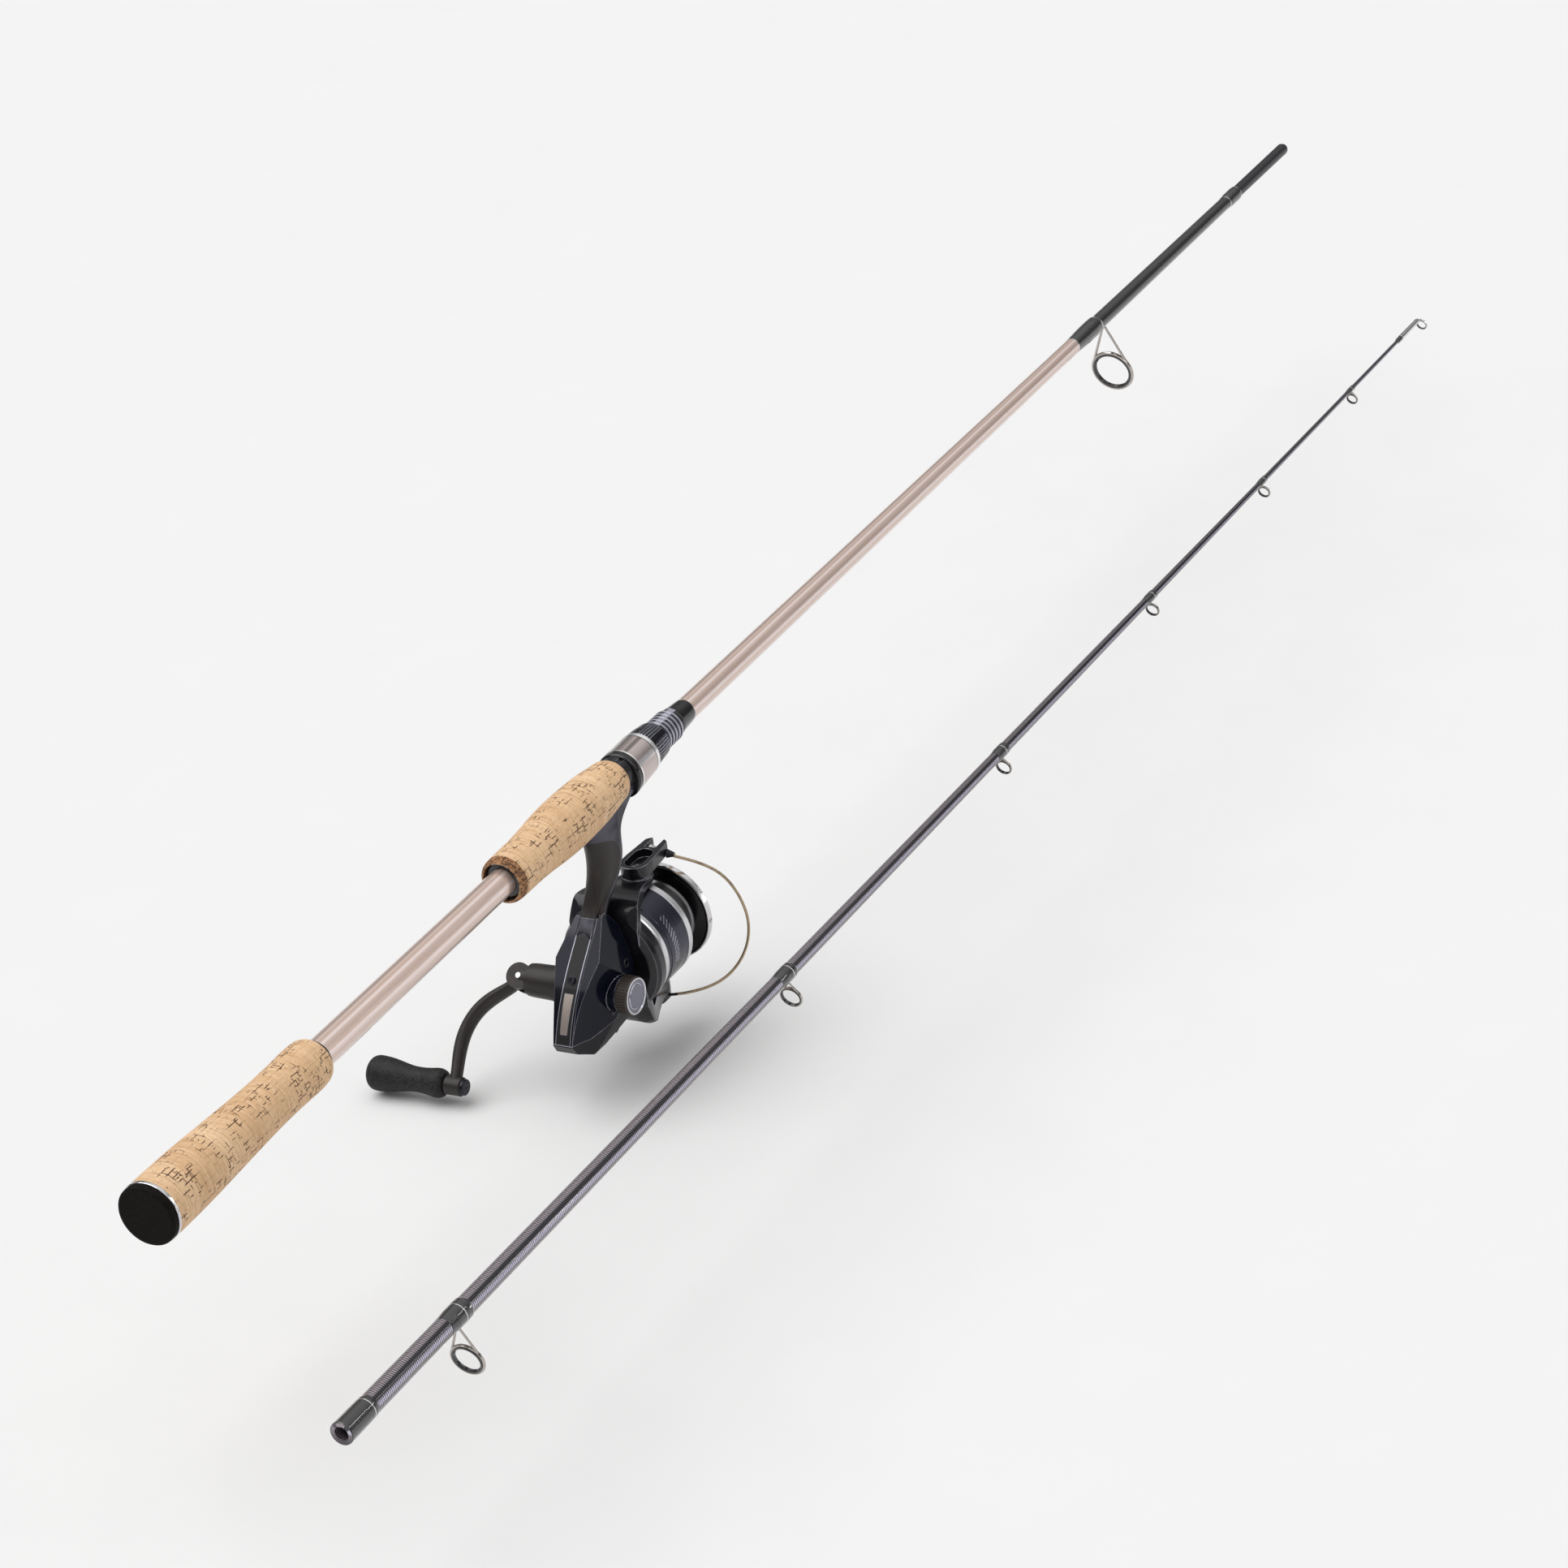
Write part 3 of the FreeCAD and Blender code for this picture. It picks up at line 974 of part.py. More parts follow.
def reel():
    parts = housing_parts()
    screws = body_screws()
    parts["body_screws"] = joined(screws)
    for name in ("reel_body", "side_cover", "rear_cover", "spine_inlay"):
        parts[name] = largest(parts[name].cut(screws))
    parts.update({
        "drive_gear": drive_gear(),
        "oscillation_gear": oscillation_gear(),
        "handle_collar": handle_collar(),
        "handle_cap": handle_cap(),
        "crank_arm": crank_arm(),
        "crank_pin": crank_pin(),
        "knob_spindle": knob_spindle(),
        "handle_knob": handle_knob(),
        "pinion_gear": pinion_gear(),
        "rotor": rotor(),
        "rotor_nut": rotor_nut(),
        "rotor_bearing": rotor_bearing(),
        "bail_arm": bail_arm(),
        "bail_wire": bail_wire(),
        "bail_lever": bail_lever(),
        "line_roller": line_roller(),
        "main_shaft": main_shaft(),
        "oscillation_slider": oscillation_slider(),
        "spool": spool(),
        "spool_lip_ring": spool_lip_ring(),
        "drag_washers": drag_washers(),
        "drag_knob": drag_knob(),
        "anti_reverse_lever": anti_reverse_lever(),
    })
    return parts


# ---------------------------------------------------------------- write every part
def main():
    os.makedirs("parts", exist_ok=True)
    parts = {**butt_section(), **tip_section(), **reel()}
    for name, shape in parts.items():
        shape.exportStep(f"parts/{name}.step")
        print(name, len(shape.Solids), round(shape.Volume, 1), shape.isValid())


main()
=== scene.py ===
"""The looks of the two-piece spinning rod and its reel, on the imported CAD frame. Units are metres."""

import bpy
import math
from mathutils import Matrix, Vector


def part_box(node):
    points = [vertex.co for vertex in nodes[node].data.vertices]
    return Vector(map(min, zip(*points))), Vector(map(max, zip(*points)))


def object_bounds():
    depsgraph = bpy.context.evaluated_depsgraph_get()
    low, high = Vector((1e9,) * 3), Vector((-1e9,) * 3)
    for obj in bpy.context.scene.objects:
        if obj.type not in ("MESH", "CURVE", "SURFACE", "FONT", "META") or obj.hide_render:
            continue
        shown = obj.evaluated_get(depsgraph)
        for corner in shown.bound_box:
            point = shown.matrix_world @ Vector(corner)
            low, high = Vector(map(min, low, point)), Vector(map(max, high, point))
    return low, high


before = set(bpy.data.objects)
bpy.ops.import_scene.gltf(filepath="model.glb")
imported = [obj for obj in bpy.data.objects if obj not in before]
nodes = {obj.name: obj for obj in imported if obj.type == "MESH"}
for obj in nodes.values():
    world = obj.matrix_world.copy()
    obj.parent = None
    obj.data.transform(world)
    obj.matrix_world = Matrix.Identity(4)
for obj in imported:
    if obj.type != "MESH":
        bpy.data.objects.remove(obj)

cad_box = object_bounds()

# ---------------------------------------------------------------- places, from the frame
MM = 0.001


def middle(node):
    low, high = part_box(node)
    return (low + high) / 2


def span_mm(node):
    """Where a node starts and ends along the rod, in millimetres."""
    low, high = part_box(node)
    return low.x / MM, high.x / MM


ROD_AXIS = Vector((0, 0, 0))
SHAFT = middle("main_shaft")
CRANK = middle("handle_bearings")
TIP_START = Vector((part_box("tip_blank")[0].x, middle("tip_blank").y, middle("tip_blank").z))
SPOOL_START = Vector((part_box("spool")[0].x, SHAFT.y, SHAFT.z))
GUIDES = [f"guide_frame_{number}" for number in range(1, 7)]

# ---------------------------------------------------------------- sizes of surface detail, in millimetres
GRIP_R = 12.5
CORK_RING = 11.0
BURL_LENGTH = 4.5
RIB_PITCH = 1.25
WRAP_THREAD = 0.22
SKIRT_R = 24.8

# ---------------------------------------------------------------- colours, linear
CORK_PALE = (0.86, 0.64, 0.42)
CORK_LIGHT = (0.78, 0.53, 0.315)
CORK_MID = (0.67, 0.425, 0.23)
CORK_DARK = (0.50, 0.28, 0.125)
CORK_BURL = (0.34, 0.135, 0.035)
CORK_PIT = (0.075, 0.030, 0.013)
CHAMPAGNE = (0.70, 0.53, 0.455)
# painted dark reflection band of the champagne lacquer
CHAMPAGNE_PAINTED_DARK_REFLECTION = (0.60, 0.43, 0.35)
CHAMPAGNE_MID = (0.76, 0.60, 0.53)
# painted highlight bands of the champagne lacquer
CHAMPAGNE_PAINTED_HIGHLIGHT = (0.86, 0.72, 0.68)
GRAPHITE = (0.055, 0.052, 0.058)
SILVER = (0.74, 0.73, 0.74)
BLACK = (0.008, 0.008, 0.009)
BRONZE = (0.40, 0.30, 0.19)
# the next three colours are painted highlights, for sharp edges and for thread crests and nut ridges
EDGE_PAINTED_HIGHLIGHT = (0.36, 0.36, 0.42)
EDGE_PAINTED_HIGHLIGHT_PALE = (0.42, 0.42, 0.50)
RIDGE_PAINTED_HIGHLIGHT = (0.60, 0.60, 0.70)
SATIN = ((0.006, 0.006, 0.008), (0.020, 0.020, 0.026))
GUNMETAL = ((0.016, 0.016, 0.022), (0.05, 0.05, 0.062))


# ---------------------------------------------------------------- node helpers
class Recipe:
    """A node material in the making: a Principled shader, and short calls for the nodes that feed it."""

    def __init__(self, name):
        self.material = bpy.data.materials.new(name)
        self.material.use_nodes = True
        self.tree = self.material.node_tree
        self.shader = self.tree.nodes["Principled BSDF"]

    def node(self, kind, settings=None, **inputs):
        made = self.tree.nodes.new(kind)
        for key, value in (settings or {}).items():
            setattr(made, key, value)
        for key, value in inputs.items():
            self.feed(made.inputs[key.replace("_", " ")], value)
        return made

    def feed(self, socket, value):
        if isinstance(value, bpy.types.NodeSocket):
            self.tree.links.new(value, socket)
        elif isinstance(value, tuple) and len(value) == 3 and socket.type == "RGBA":
            socket.default_value = (*value, 1.0)
        else:
            socket.default_value = value

    def set(self, **inputs):
        """Sets the shader's own sockets, by name with _ for a space."""
        for key, value in inputs.items():
            self.feed(self.shader.inputs[key.replace("_", " ")], value)

    def math(self, operation, a, b=0.0, clamp=False):
        made = self.tree.nodes.new("ShaderNodeMath")
        made.operation = operation
        made.use_clamp = clamp
        self.feed(made.inputs[0], a)
        self.feed(made.inputs[1], b)
        return made.outputs[0]

    def times(self, a, b):
        return self.math("MULTIPLY", a, b)

    def plus(self, a, b, clamp=False):
        return self.math("ADD", a, b, clamp)

    def highest(self, a, b, clamp=False):
        return self.math("MAXIMUM", a, b, clamp)

    def inverse(self, mask):
        """1 where the mask is 0, and 0 where it is 1."""
        return self.math("SUBTRACT", 1.0, mask)

    def mix(self, share, a, b):
        """Colour a where share is 0, and colour b where it is 1."""
        made = self.node("ShaderNodeMix", {"data_type": "RGBA"})
        self.feed(made.inputs[0], share)
        self.feed(made.inputs[6], a)
        self.feed(made.inputs[7], b)
        return made.outputs[2]

    def place(self, centre=ROD_AXIS):
        """The place from centre in millimetres, as a vector and as its x, y and z."""
        where = self.node("ShaderNodeTexCoord").outputs["Object"]
        offset = self.node("ShaderNodeVectorMath", {"operation": "SUBTRACT"})
        self.feed(offset.inputs[0], where)
        offset.inputs[1].default_value = centre
        scaled = self.node("ShaderNodeVectorMath", {"operation": "SCALE"})
        self.feed(scaled.inputs[0], offset.outputs[0])
        scaled.inputs["Scale"].default_value = 1.0 / MM
        split = self.node("ShaderNodeSeparateXYZ")
        self.feed(split.inputs[0], scaled.outputs[0])
        return scaled.outputs[0], split.outputs

    def combine(self, x, y, z):
        made = self.node("ShaderNodeCombineXYZ")
        for socket, value in zip(made.inputs, (x, y, z)):
            self.feed(socket, value)
        return made.outputs[0]

    def round_the_axis(self, centre, across=("Y", "Z"), along="X"):
        """How far along an axis in millimetres, the angle round it in radians, and how far out from it."""
        _, xyz = self.place(centre)
        u, v = xyz[across[0]], xyz[across[1]]
        radius = self.math("SQRT", self.plus(self.times(u, u), self.times(v, v)))
        angle = self.math("ARCTAN2", v, u)
        return xyz[along], angle, radius

    def noise(self, vector, scale, detail=3.0, roughness=0.55):
        made = self.node("ShaderNodeTexNoise", None, Vector=vector, Scale=scale, Detail=detail,
                         Roughness=roughness)
        return made.outputs[0]

    def ramp(self, value, start, end):
        """0 up to start and 1 from end on, smooth between."""
        made = self.node("ShaderNodeMapRange", {"interpolation_type": "SMOOTHSTEP"})
        self.feed(made.inputs["Value"], value)
        made.inputs["From Min"].default_value = start
        made.inputs["From Max"].default_value = end
        return made.outputs[0]

    def band(self, value, low, high, soft=0.02):
        """1 between low and high, and 0 outside."""
        return self.times(self.ramp(value, low - soft, low + soft),
                          self.inverse(self.ramp(value, high - soft, high + soft)))

    def bump(self, height, strength, distance_mm, normal=None):
        made = self.node("ShaderNodeBump", None, Height=height, Strength=strength, Distance=distance_mm * MM)
        if normal is not None:
            self.feed(made.inputs["Normal"], normal)
        return made.outputs[0]

    def rounded(self, radius_mm):
        """The normal with its sharp edges rounded, and a mask that is 1 along those edges."""
        soft = self.node("ShaderNodeBevel", {"samples": 4}, Radius=radius_mm * MM).outputs[0]
        flat = self.node("ShaderNodeNewGeometry").outputs["Normal"]
        same = self.node("ShaderNodeVectorMath", {"operation": "DOT_PRODUCT"})
        self.feed(same.inputs[0], soft)
        self.feed(same.inputs[1], flat)
        return soft, self.ramp(self.inverse(same.outputs["Value"]), 0.03, 0.16)

    def streaks(self, angle, ground, bands):
        """The ground colour, with a soft lengthwise band of painted reflection at each (from, to, colour) in
        degrees round the axis.
        """
        degrees = self.times(angle, 180.0 / math.pi)
        for start, end, colour in bands:
            ground = self.mix(self.band(degrees, start, end, 3.0), ground, colour)
        return ground

    def spread(self, value, low, high):
        """A 0-to-1 value as a range from low to high."""
        return self.plus(self.times(value, high - low), low)


# ---------------------------------------------------------------- materials
def cork(name, burl=None):
    """Cork rings of varied tone, with growth lines and patches of dark, square-cornered cracks.

    burl is the start and end of a band of dark burl cork, in millimetres along the rod.
    """
    r = Recipe(name)
    x, angle, radius = r.round_the_axis(ROD_AXIS)
    arc = r.times(angle, GRIP_R)
    where = r.combine(x, arc, radius)
    wander = r.times(r.noise(where, 0.05, 1.0), 4.0)
    drifting = r.plus(x, wander)
    ring = r.math("FLOOR", r.math("DIVIDE", drifting, CORK_RING))
    tone = r.node("ShaderNodeTexWhiteNoise", {"noise_dimensions": "1D"}, W=ring).outputs[0]
    growth = r.noise(r.combine(drifting, r.times(arc, 0.035), 0.0), 0.9, 5.0, 0.75)
    fine = r.noise(r.combine(r.times(x, 1.6), r.times(arc, 0.5), radius), 1.1, 4.0)
    colour = r.mix(tone, CORK_LIGHT, CORK_MID)
    colour = r.mix(r.times(r.ramp(growth, 0.48, 0.66), 0.75), colour, CORK_DARK)
    colour = r.mix(r.times(r.ramp(growth, 0.48, 0.34), 0.6), colour, CORK_PALE)
    colour = r.mix(r.times(r.ramp(fine, 0.54, 0.72), 0.45), colour, CORK_DARK)

    jitter = r.times(r.math("SUBTRACT", r.noise(where, 0.3, 2.0), 0.5), 0.6)
    along, round_it = r.plus(x, jitter), r.plus(arc, jitter)
    patch = r.ramp(r.noise(r.combine(r.times(x, 0.8), arc, 0.0), 0.10, 2.0, 0.5), 0.47, 0.56)
    cracks = 0.0
    # for each layer: along and across its cracks, then their length, spacing, width and share left out
    layers = ((along, round_it, 6.5, 2.4, 0.24, 0.50), (round_it, along, 5.5, 4.4, 0.25, 0.52))
    for u, v, length, row, line, left_out in layers:
        bricks = r.node("ShaderNodeTexBrick", {"offset": 0.37, "squash": 0.7}, Vector=r.combine(u, v, 0.0),
                        Scale=1.0, Mortar_Size=line, Mortar_Smooth=0.25, Brick_Width=length, Row_Height=row)
        kept = r.noise(r.combine(r.times(u, 0.5), v, length), 0.35, 1.0)
        kept = r.ramp(kept, left_out, left_out + 0.04)
        cracks = r.highest(r.times(bricks.outputs["Fac"], kept), cracks, clamp=True)
    cracks = r.times(cracks, r.plus(r.times(patch, 0.85), 0.15))
    dashes = r.noise(r.combine(r.times(x, 0.3), r.times(arc, 1.5), 0.0), 0.75, 2.0, 0.6)
    pits = r.times(r.ramp(dashes, 0.675, 0.70), 0.85)
    dark = r.highest(cracks, pits, clamp=True)
    if burl is not None:
        grain = r.ramp(r.noise(where, 0.75, 3.0, 0.7), 0.47, 0.56)
        edge = r.band(x, *burl, 0.6)
        colour = r.mix(r.times(edge, 0.85), colour, CORK_BURL)
        dark = r.highest(dark, r.times(edge, grain), clamp=True)
    colour = r.mix(dark, colour, CORK_PIT)
    height = r.math("SUBTRACT", r.times(growth, 0.4), dark)
    r.set(Base_Color=colour, Roughness=r.spread(fine, 0.55, 0.8), Normal=r.bump(height, 0.6, 0.4))
    return r.material


def champagne_paint():
    """Rose-champagne metallic lacquer with lengthwise tone streaking and bands of painted reflection, and
    dark graphite beyond the first guide.
    """
    r = Recipe("blank_lacquer")
    x, angle, radius = r.round_the_axis(ROD_AXIS)
    flake = r.noise(r.combine(x, r.times(angle, 6.0), radius), 3.2, 2.0)
    streak = r.noise(r.combine(r.times(x, 0.004), angle, 0.0), 2.6, 4.0, 0.6)
    paint = r.mix(r.ramp(streak, 0.48, 0.66), CHAMPAGNE, CHAMPAGNE_MID)
    # painted reflection: one dark band and two pale highlight bands, fixed round the axis
    paint = r.streaks(angle, paint, (
        (98.0, 109.0, CHAMPAGNE_PAINTED_DARK_REFLECTION),
        (112.0, 122.0, CHAMPAGNE_PAINTED_HIGHLIGHT),
        (156.0, 172.0, CHAMPAGNE_PAINTED_HIGHLIGHT),
    ))
    paint = r.mix(r.times(r.ramp(flake, 0.5, 0.75), 0.3), paint, SILVER)
    dark = r.mix(r.ramp(flake, 0.4, 0.7), (0.02, 0.019, 0.021), GRAPHITE)
    _, paint_end = span_mm("stripper_wrap")
    front = r.ramp(x, paint_end - 0.3, paint_end + 0.3)
    r.set(Base_Color=r.mix(front, paint, dark), Metallic=0.55, Roughness=r.spread(flake, 0.24, 0.36))
    r.set(Normal=r.bump(flake, 0.06, 0.05), Coat_Weight=0.9, Coat_Roughness=0.05)
    return r.material


def ribbed_tape_paint():
    """Dark lilac gloss over the ribs left by rolled tape, which get flatter towards the tip; the rib crests
    carry a painted highlight and the troughs painted shade, and bands of painted reflection run along the
    blank.
    """
    r = Recipe("tip_lacquer")
    x, angle, radius = r.round_the_axis(TIP_START)
    lean = r.plus(x, r.times(angle, RIB_PITCH / (2 * math.pi)))
    rib = r.spread(r.math("SINE", r.times(lean, 2 * math.pi / RIB_PITCH)), 0.5, 1.0)
    fade = r.inverse(r.times(r.ramp(x, 250.0, 900.0), 0.75))
    cloud = r.noise(r.combine(r.times(x, 0.4), r.times(angle, 4.0), radius), 0.6, 3.0)
    # painted shade in the rib troughs and painted highlight on the rib crests, mixed by the rib wave below
    low = r.mix(cloud, (0.045, 0.038, 0.045), (0.075, 0.065, 0.075))
    high = r.mix(cloud, (0.30, 0.26, 0.29), (0.40, 0.35, 0.385))
    # painted reflection bands fixed round the axis: dark bands, and a bright lilac highlight band
    low = r.streaks(angle, low, (
        (118.0, 146.0, (0.004, 0.004, 0.006)),
        (152.0, 176.0, (0.16, 0.15, 0.22)),
    ))
    high = r.streaks(angle, high, (
        (40.0, 66.0, (0.09, 0.075, 0.09)),
        (118.0, 146.0, (0.035, 0.032, 0.042)),
        (152.0, 176.0, (0.72, 0.69, 0.84)),
    ))
    rib_bump_and_painted_sheen = r.times(rib, fade)
    r.set(Base_Color=r.mix(rib_bump_and_painted_sheen, low, high), Metallic=0.5, Roughness=r.spread(cloud, 0.2, 0.34))
    r.set(Normal=r.bump(rib_bump_and_painted_sheen, 0.8, 0.2), Coat_Weight=0.5, Coat_Roughness=0.08)
    return r.material


def thread_wrap(name, centre, trims):
    """Black thread under clear gloss varnish, with bright trim turns at spans along the rod from centre."""
    r = Recipe(name)
    x, angle, radius = r.round_the_axis(centre)
    turns = r.math("SINE", r.times(x, 2 * math.pi / WRAP_THREAD))
    cloud = r.noise(r.combine(x, r.times(angle, 4.0), radius), 1.2, 2.0)
    colour = r.mix(cloud, BLACK, (0.02, 0.018, 0.022))
    trim = 0.0
    for low, high in trims:
        trim = r.plus(r.band(x, low, high, 0.05), trim, clamp=True)
    colour = r.mix(trim, colour, SILVER)
    r.set(Base_Color=colour, Metallic=r.times(trim, 0.9), Roughness=r.spread(cloud, 0.16, 0.3))
    r.set(Normal=r.bump(turns, 0.12, 0.05), Coat_Weight=1.0, Coat_Roughness=0.03)
    return r.material


def metal(name, colour, rough, brushed=(0.02, 1.0, 1.0), bump=0.04):
    """Metal with fine lines stretched along the axis of the small share, and faint darker stains."""
    r = Recipe(name)
    where, xyz = r.place()
    lines = r.combine(*[r.times(xyz[axis], share) for axis, share in zip("XYZ", brushed)])
    scratch = r.noise(lines, 9.0, 4.0, 0.7)
    cloud = r.noise(where, 0.35, 3.0)
    shade = tuple(channel * 0.72 for channel in colour)
    tone = r.mix(r.times(scratch, 0.6), colour, shade)
    tone = r.mix(r.times(r.ramp(cloud, 0.5, 0.75), 0.35), tone, shade)
    r.set(Base_Color=tone, Metallic=1.0, Roughness=r.spread(scratch, *rough))
    r.set(Normal=r.bump(scratch, bump, 0.06))
    return r.material


def moulded(name, tones, rough, grain=2.6, depth=0.12, coat=0.0, metallic=0.0, shine=0.3, edge=None,
            edge_mm=0.5):
    """A moulded or painted surface: fine grain, slow change of tone, a clear coat, and optionally a painted
    highlight along the sharp edges.
    """
    r = Recipe(name)
    where, _ = r.place()
    fine = r.noise(where, grain, 4.0, 0.65)
    cloud = r.noise(where, 0.12, 3.0)
    colour = r.mix(r.ramp(fine, 0.35, 0.7), *tones)
    colour = r.mix(r.times(r.ramp(cloud, 0.4, 0.7), 0.5), colour, tones[0])
    normal = None
    if edge is not None:
        normal, mask = r.rounded(edge_mm)
        # painted highlight along the sharp edges
        colour = r.mix(mask, colour, edge)
        metallic = r.highest(r.times(mask, 0.9), metallic)
    r.set(Base_Color=colour, Metallic=metallic, Roughness=r.spread(fine, *rough))
    r.set(Normal=r.bump(fine, depth, 0.12, normal))
    r.set(Coat_Weight=coat, Coat_Roughness=0.05, Specular_IOR_Level=shine)
    return r.material


def reel_body_paint():
    """Dark metallic stem, gloss blue-black housing, and a matt spine between bright hairlines, with a
    painted highlight along the sharp edges.
    """
    r = Recipe("reel_body_paint")
    where, xyz = r.place()
    fine = r.noise(where, 5.0, 3.0, 0.7)
    cloud = r.noise(where, 0.08, 2.0)
    side = r.math("ABSOLUTE", xyz["Y"])
    below = r.inverse(r.ramp(xyz["Z"], -62.0, -56.0))
    spine = r.times(r.inverse(r.ramp(side, 3.6, 3.75)), below)
    line = r.times(r.band(side, 3.65, 4.05, 0.06), below)
    stem = r.mix(r.ramp(cloud, 0.4, 0.62), (0.014, 0.014, 0.018), (0.060, 0.058, 0.075))
    stem = r.mix(r.times(fine, 0.4), stem, (0.13, 0.125, 0.155))
    gloss = r.mix(fine, (0.002, 0.0025, 0.005), (0.007, 0.008, 0.016))
    colour = r.mix(below, stem, gloss)
    colour = r.mix(spine, colour, r.mix(fine, (0.006, 0.006, 0.007), (0.030, 0.029, 0.031)))
    colour = r.mix(line, colour, (0.32, 0.32, 0.37))
    # painted highlight along the sharp edges
    soft, edge = r.rounded(0.6)
    colour = r.mix(edge, colour, EDGE_PAINTED_HIGHLIGHT)
    rough = r.mix(spine, r.mix(below, (0.3, 0.3, 0.3), (0.16, 0.16, 0.16)), (0.6, 0.6, 0.6))
    metallic = r.math("SUBTRACT", 0.6, r.times(spine, 0.5))
    r.set(Base_Color=colour, Metallic=metallic, Roughness=rough)
    r.set(Normal=r.bump(fine, 0.08, 0.06, soft))
    r.set(Coat_Weight=0.2, Coat_Roughness=0.05, Specular_IOR_Level=0.15)
    return r.material


def knurled_cap_paint():
    """Brown-black knurled rim, and a gunmetal disc inside a bright ring on the end."""
    r = Recipe("cap_finish")
    _, _, radius = r.round_the_axis(CRANK, across=("X", "Z"), along="Y")
    face = r.inverse(r.ramp(radius, 7.9, 8.1))
    ring = r.highest(r.band(radius, 7.7, 8.7, 0.08), r.band(radius, 5.75, 6.15, 0.06))
    where, _ = r.place()
    fine = r.noise(where, 4.0, 3.0)
    turned_lines = r.noise(r.combine(r.times(radius, 4.0), 0.0, 0.0), 2.0, 2.0)
    rim = r.mix(fine, (0.012, 0.010, 0.009), (0.06, 0.045, 0.035))
    disc = r.mix(turned_lines, (0.15, 0.15, 0.19), (0.27, 0.27, 0.33))
    colour = r.mix(face, rim, disc)
    colour = r.mix(ring, colour, (0.62, 0.62, 0.66))
    shine = r.highest(face, ring)
    r.set(Base_Color=colour, Metallic=r.times(shine, 0.95), Roughness=r.spread(shine, 0.55, 0.24))
    r.set(Normal=r.bump(r.plus(fine, turned_lines), 0.1, 0.05))
    return r.material


def spool_paint():
    """Blue-black skirt with polished bands and slanted dashes, a grey line well and a black lip."""
    r = Recipe("spool_finish")
    x, angle, radius = r.round_the_axis(SPOOL_START)
    turned_lines = r.noise(r.combine(r.times(x, 6.0), r.times(angle, 0.4), radius), 1.6, 3.0)
    skirt = r.mix(turned_lines, (0.022, 0.023, 0.036), (0.06, 0.062, 0.085))
    slant = r.plus(r.times(angle, SKIRT_R / 0.36), r.times(x, 2.2))
    dashes = r.ramp(r.math("SINE", slant), 0.0, 0.4)
    third = r.math("FRACT", r.plus(r.times(angle, 1.5 / math.pi), 0.1))
    dashes = r.times(r.times(dashes, r.band(third, 0.25, 0.72, 0.01)), r.band(x, 9.2, 13.0, 0.1))
    outside = r.ramp(radius, 23.9, 24.0)
    bright = r.times(r.highest(r.band(x, 0.0, 3.4, 0.1), r.band(x, 22.3, 26.4, 0.15)), outside)
    well = r.times(r.band(x, 27.2, 39.2, 0.1), r.inverse(r.ramp(radius, 20.0, 21.0)))
    lip = r.ramp(x, 38.6, 39.0)
    inside = r.inverse(r.ramp(radius, 15.6, 15.9))
    colour = r.mix(bright, skirt, r.mix(turned_lines, (0.55, 0.55, 0.58), (0.78, 0.78, 0.8)))
    colour = r.mix(well, colour, r.mix(turned_lines, (0.10, 0.10, 0.11), (0.28, 0.27, 0.27)))
    colour = r.mix(lip, colour, r.mix(turned_lines, (0.006, 0.006, 0.007), (0.016, 0.016, 0.018)))
    colour = r.mix(r.times(dashes, outside), colour, (0.30, 0.30, 0.34))
    colour = r.mix(inside, colour, (0.03, 0.03, 0.033))
    r.set(Base_Color=colour, Metallic=0.92, Roughness=r.spread(turned_lines, 0.2, 0.36))
    r.set(Normal=r.bump(turned_lines, 0.06, 0.05), Coat_Weight=0.25, Coat_Roughness=0.05)
    return r.material


def bail_wire_finish():
    """Bronze-plated wire with a dark cone at the roller's end."""
    r = Recipe("bail_wire_finish")
    where, xyz = r.place(middle("line_roller"))
    scratch = r.noise(where, 3.0, 4.0, 0.7)
    cloud = r.noise(where, 0.35, 3.0)
    wire = r.mix(r.times(scratch, 0.6), BRONZE, (0.62, 0.50, 0.36))
    wire = r.mix(r.times(r.ramp(cloud, 0.5, 0.75), 0.5), wire, (0.16, 0.11, 0.07))
    cone = r.mix(scratch, (0.012, 0.012, 0.014), (0.05, 0.05, 0.055))
    by_the_roller = r.ramp(xyz["Y"], -9.9, -9.6)
    r.set(Base_Color=r.mix(by_the_roller, wire, cone), Metallic=0.95, Roughness=r.spread(scratch, 0.14, 0.3))
    r.set(Normal=r.bump(scratch, 0.04, 0.06))
    return r.material


def hood_band_finish():
    """Polished champagne band with a bright edge at each end, a dark groove and lengthwise bands of painted
    reflection.
    """
    r = Recipe("hood_band_finish")
    start, end = span_mm("hood_band")
    x, angle, radius = r.round_the_axis(ROD_AXIS)
    turned_lines = r.noise(r.combine(r.times(x, 5.0), r.times(angle, 0.5), radius), 1.5, 3.0)
    tone = r.mix(turned_lines, (0.50, 0.42, 0.40), (0.66, 0.58, 0.56))
    # painted reflection bands fixed round the axis: two bright and one dark
    tone = r.streaks(angle, tone, (
        (60.0, 74.0, (0.80, 0.75, 0.75)),
        (100.0, 112.0, (0.24, 0.20, 0.20)),
        (150.0, 164.0, (0.88, 0.84, 0.85)),
    ))
    rim = r.highest(r.band(x, start + 0.2, start + 1.1, 0.1), r.band(x, end - 2.2, end - 0.2, 0.1))
    tone = r.mix(rim, tone, (0.90, 0.89, 0.90))
    groove = r.band(x, end - 2.7, end - 2.3, 0.08)
    tone = r.mix(groove, tone, (0.05, 0.045, 0.045))
    r.set(Base_Color=tone, Metallic=0.9, Roughness=r.spread(turned_lines, 0.16, 0.3))
    r.set(Normal=r.bump(turned_lines, 0.05, 0.05))
    return r.material


